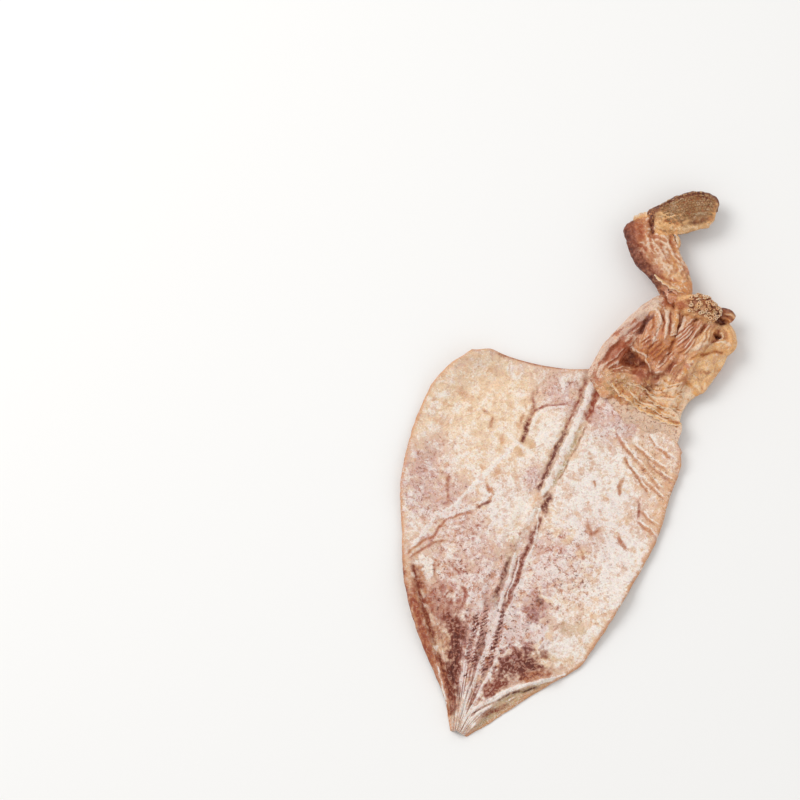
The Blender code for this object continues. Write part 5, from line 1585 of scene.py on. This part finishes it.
def build_suckers(context, name, host, places, sides, diameter, stains, pit_stains):
    """Suckers, each set on its host's skin where a line down to it meets it."""
    radius = diameter / MM / 2
    skin = BVHTree.FromObject(bpy.data.objects[host], context.evaluated_depsgraph_get())
    cup, pit = cup_mesh(sides)
    bm = bmesh.new()
    for number, (place, inward) in enumerate(places):
        spot, normal, _, _ = skin.ray_cast(place * MM, inward, SUCKER_SEARCH * MM)
        if spot is None or normal.z < SUCKER_FACING:
            continue
        size = radius * (1 + 0.2 * math.sin(5.1 * number) + 0.12 * math.sin(2.3 * number))
        turn = normal.lerp(UP, SUCKER_RIGHTING).to_track_quat("Z", "Y").to_matrix().to_4x4()
        first = len(bm.verts)
        bm.from_mesh(cup)
        bm.verts.ensure_lookup_table()
        shape = Matrix.Translation(spot / MM) @ turn @ Matrix.Diagonal((size, size * SUCKER_OVAL, size, 1))
        bmesh.ops.transform(bm, matrix=shape, verts=bm.verts[first:])
    if not len(bm.verts):
        raise RuntimeError(f"No place was found for {name}")
    mesh = to_mesh(bm, name)
    bpy.data.meshes.remove(cup)
    places = read_places(mesh)
    canvas = Canvas(places, np.ones(len(places)))
    depth = np.tile(pit, len(places) // len(pit))
    canvas.stain(1 - depth, **stains)
    canvas.stain(depth, **pit_stains)
    finish_piece(name, mesh, canvas, places, 0.5 - depth)


def build_arm_suckers(context):
    """The rows of suckers of the arm beside the stub."""
    places = []
    for row, i, share, degrees in sucker_rows(*ARM_SUCKERS):
        angle = math.radians(degrees + 7 * math.sin(3.7 * i + row))
        share += 0.02 * math.sin(2.9 * i + 4.1 * row)
        places.append(tube_place(SUCKER_ARM, share, angle, SUCKER_REACH))
    build_suckers(context, "suckers", "head", places, sides=12,
                  diameter=context.scene.squid_head_sizes.sucker,
                  stains={"peach": 1.0, "amber": 0.3, "bloom": 0.4},
                  pit_stains={"umber": 1.0, "blood": 1.0})


def build_club_suckers(context):
    """The small suckers all over the face of the club."""
    places = []
    for row, i, share, across in sucker_rows(*CLUB_SUCKERS):
        aside = across + 0.03 * math.sin(6.1 * i + 2.9 * row)
        share += 0.008 * math.sin(4.3 * i + 1.7 * row)
        places.append(tube_place(CLUB, share, math.acos(aside), SUCKER_REACH))
    build_suckers(context, "club_suckers", "club", places, sides=8,
                  diameter=context.scene.squid_head_sizes.club_sucker,
                  stains={"peach": 0.3}, pit_stains={"umber": 0.9})


def build_frills(context):
    """Thin rippled ribbons of torn skin along the collar, the club and the ends of the big arm."""
    graph = context.evaluated_depsgraph_get()
    skins = {host: BVHTree.FromObject(bpy.data.objects[host], graph)
             for host in {frill.host for frill in FRILLS}}
    bm = bmesh.new()
    rise = bm.verts.layers.float.new("rise")
    for number, frill in enumerate(FRILLS):
        stations = spread_by_distance(frill.points)
        length = stations[-1][0]
        path = flowing_curve(stations)
        first_vert, first_face = len(bm.verts), len(bm.faces)
        bmesh.ops.create_grid(bm, x_segments=int(length / FRILL_STEP), y_segments=FRILL_CELLS, size=0.5)
        bm.verts.ensure_lookup_table()
        bm.faces.ensure_lookup_table()
        offsets = []
        for vert in bm.verts[first_vert:]:
            share, up = vert.co.x + 0.5, vert.co.y + 0.5
            base, heading = stand_on(path, share * length, FRILL_HEADING_REACH)
            above = Vector((base.x, base.y, FRILL_DROP_FROM))
            hit = skins[frill.host].ray_cast(above * MM, DOWN, FRILL_DROP * MM)[0]
            if hit is not None:
                base.z = hit.z / MM
            out = heading.cross(UP).normalized()
            rising = (out * frill.lean + UP * (1 - frill.lean)).normalized()
            wave = noise.noise(Vector((share * length / FRILL_WAVE_SIZE, number * 7.3, 0.0)))
            tall = frill.height * math.sin(math.pi * share) ** 0.5 * (1 + FRILL_WAVE * wave)
            sway = frill.ripple * up * math.sin(share * length * FRILL_RIPPLE_PITCH + 3 * wave)
            beside = rising.cross(heading).normalized()
            vert.co = base - rising * FRILL_ROOT + rising * ((tall + FRILL_ROOT) * up) + beside * sway
            vert[rise] = up
            offsets.append(beside * (FRILL_THICKNESS * (1 - 0.5 * up)))
        grown = bmesh.ops.extrude_face_region(bm, geom=bm.faces[first_face:])["geom"]
        for vert, offset in zip(picked(grown, bmesh.types.BMVert), offsets):
            vert.co += offset
    bmesh.ops.recalc_face_normals(bm, faces=bm.faces[:])
    mesh = to_mesh(bm, "skin_frills")
    risen = take_layer(mesh, "rise")
    places = read_places(mesh)
    canvas = Canvas(places, np.ones(len(places)))
    canvas.stain(np.ones(len(places)), peach=1, amber=0.3)
    canvas.stain(smooth_step(0.3, 1.0, risen), bloom=0.9)
    canvas.stain(smooth_step(0.4, 0.0, risen), amber=0.6, blood=0.3)
    finish_piece("skin_frills", mesh, canvas, places, risen - 0.5)


def build_stage(context):
    """A plain pale floor, soft studio light and the camera at the photograph's viewing angle."""
    scene, settings = context.scene, context.scene.squid_stage
    bm = bmesh.new()
    bmesh.ops.create_grid(bm, x_segments=1, y_segments=1, size=FLOOR_HALF)
    bmesh.ops.translate(bm, verts=bm.verts[:], vec=(0, 0, -FLOOR_DROP))
    floor = bpy.data.objects.new("floor", to_mesh(bm, "floor"))
    scene.collection.objects.link(floor)
    # Matt white paper sweep: no gloss, so it only catches the soft shadow
    paper = bpy.data.materials.new("matt_paper")
    paper.use_nodes = True
    shader = paper.node_tree.nodes["Principled BSDF"]
    shader.inputs["Base Color"].default_value = tuple(settings.floor)
    shader.inputs["Roughness"].default_value = 0.9
    shader.inputs["Specular IOR Level"].default_value = 0.0
    floor.data.materials.append(paper)

    turn, rise = math.radians(CAMERA_AZIMUTH), math.radians(CAMERA_ELEVATION)
    back = Vector((math.sin(turn) * math.cos(rise), -math.cos(turn) * math.cos(rise), math.sin(rise)))
    lens = bpy.data.cameras.new("camera")
    lens.sensor_width = SENSOR
    lens.lens = SENSOR * CAMERA_DISTANCE / FRAME_WIDTH
    camera = bpy.data.objects.new("camera", lens)
    scene.collection.objects.link(camera)
    camera.location = Vector(CAMERA_AIM) + back * CAMERA_DISTANCE
    camera.rotation_euler = back.to_track_quat("Z", "Y").to_euler()
    scene.camera = camera
    scene.view_settings.view_transform = "Standard"

    low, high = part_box(NODE)
    middle = (low + high) / 2
    for name, place, size, power in (("key", KEY_PLACE, KEY_SIZE, settings.key_power),
                                     ("fill", FILL_PLACE, FILL_SIZE, settings.fill_power)):
        light = bpy.data.lights.new(name, "AREA")
        light.shape = "DISK"
        light.size = size
        light.energy = power
        lamp = bpy.data.objects.new(name, light)
        scene.collection.objects.link(lamp)
        lamp.location = middle + Matrix.Rotation(turn, 3, "Z") @ Vector(place)
        lamp.rotation_euler = (lamp.location - middle).to_track_quat("Z", "Y").to_euler()
    world = bpy.data.worlds.new("soft_sky")
    world.use_nodes = True
    background = world.node_tree.nodes["Background"]
    background.inputs["Strength"].default_value = settings.sky
    background.inputs["Color"].default_value = (1.0, 1.0, 1.0, 1.0)
    scene.world = world


class SQUID_OT_mantle(bpy.types.Operator):
    """Builds the slit and dried mantle"""
    bl_idname = "squid.mantle"
    bl_label = "Mantle"

    def execute(self, context):
        build_mantle(context)
        return {"FINISHED"}


class SQUID_OT_head(bpy.types.Operator):
    """Builds the crumpled head with its ribs, lips and skins"""
    bl_idname = "squid.head"
    bl_label = "Head"

    def execute(self, context):
        build_head(context)
        return {"FINISHED"}


class SQUID_OT_folded_arm(bpy.types.Operator):
    """Builds the big arm that folds over the head"""
    bl_idname = "squid.folded_arm"
    bl_label = "Folded arm"

    def execute(self, context):
        build_folded_arm(context)
        return {"FINISHED"}


class SQUID_OT_club(bpy.types.Operator):
    """Builds the club at the end of the folded arm"""
    bl_idname = "squid.club"
    bl_label = "Club"

    def execute(self, context):
        build_club(context)
        return {"FINISHED"}


class SQUID_OT_suckers(bpy.types.Operator):
    """Builds the rows of suckers of the arm with suckers"""
    bl_idname = "squid.suckers"
    bl_label = "Suckers"

    def execute(self, context):
        build_arm_suckers(context)
        return {"FINISHED"}


class SQUID_OT_club_suckers(bpy.types.Operator):
    """Builds the small suckers on the face of the club"""
    bl_idname = "squid.club_suckers"
    bl_label = "Club suckers"

    def execute(self, context):
        build_club_suckers(context)
        return {"FINISHED"}


class SQUID_OT_frills(bpy.types.Operator):
    """Builds the thin frills of skin along the collar, the club and the big arm"""
    bl_idname = "squid.frills"
    bl_label = "Skin frills"

    def execute(self, context):
        build_frills(context)
        return {"FINISHED"}


class SQUID_OT_stage(bpy.types.Operator):
    """Sets up the floor, the soft light and the camera"""
    bl_idname = "squid.stage"
    bl_label = "Stage"

    def execute(self, context):
        build_stage(context)
        return {"FINISHED"}


SETTINGS = {"squid_mantle_sizes": MantleSizes, "squid_head_sizes": HeadSizes,
            "squid_mantle_colours": MantleColours, "squid_head_colours": HeadColours,
            "squid_club_colours": ClubColours, "squid_stage": StageSettings}
OPERATORS = (SQUID_OT_mantle, SQUID_OT_head, SQUID_OT_folded_arm, SQUID_OT_club, SQUID_OT_suckers,
             SQUID_OT_club_suckers, SQUID_OT_frills, SQUID_OT_stage)


class SQUID_PT_panel(bpy.types.Panel):
    """Lists the squid's pieces and their settings"""
    bl_idname = "SQUID_PT_panel"
    bl_label = "Dried Squid"
    bl_space_type = "VIEW_3D"
    bl_region_type = "UI"
    bl_category = "Dried Squid"

    def draw(self, context):
        for operator in OPERATORS:
            self.layout.operator(operator.bl_idname)
        for name, group in SETTINGS.items():
            box = self.layout.box()
            box.label(text=name.replace("squid_", "").replace("_", " ").capitalize())
            for setting in group.__annotations__:
                box.prop(getattr(context.scene, name), setting)


CLASSES = (*SETTINGS.values(), *OPERATORS, SQUID_PT_panel)


def register():
    for item in CLASSES:
        bpy.utils.register_class(item)
    for name, group in SETTINGS.items():
        setattr(bpy.types.Scene, name, PointerProperty(type=group))


def unregister():
    for name in SETTINGS:
        delattr(bpy.types.Scene, name)
    for item in reversed(CLASSES):
        bpy.utils.unregister_class(item)


def main():
    """Builds the squid and its stage."""
    register()
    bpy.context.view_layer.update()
    bpy.ops.squid.mantle()
    bpy.ops.squid.head()
    bpy.ops.squid.folded_arm()
    bpy.ops.squid.club()
    bpy.ops.squid.suckers()
    bpy.ops.squid.club_suckers()
    bpy.ops.squid.frills()
    bpy.ops.squid.stage()


if __name__ == "__main__":
    main()
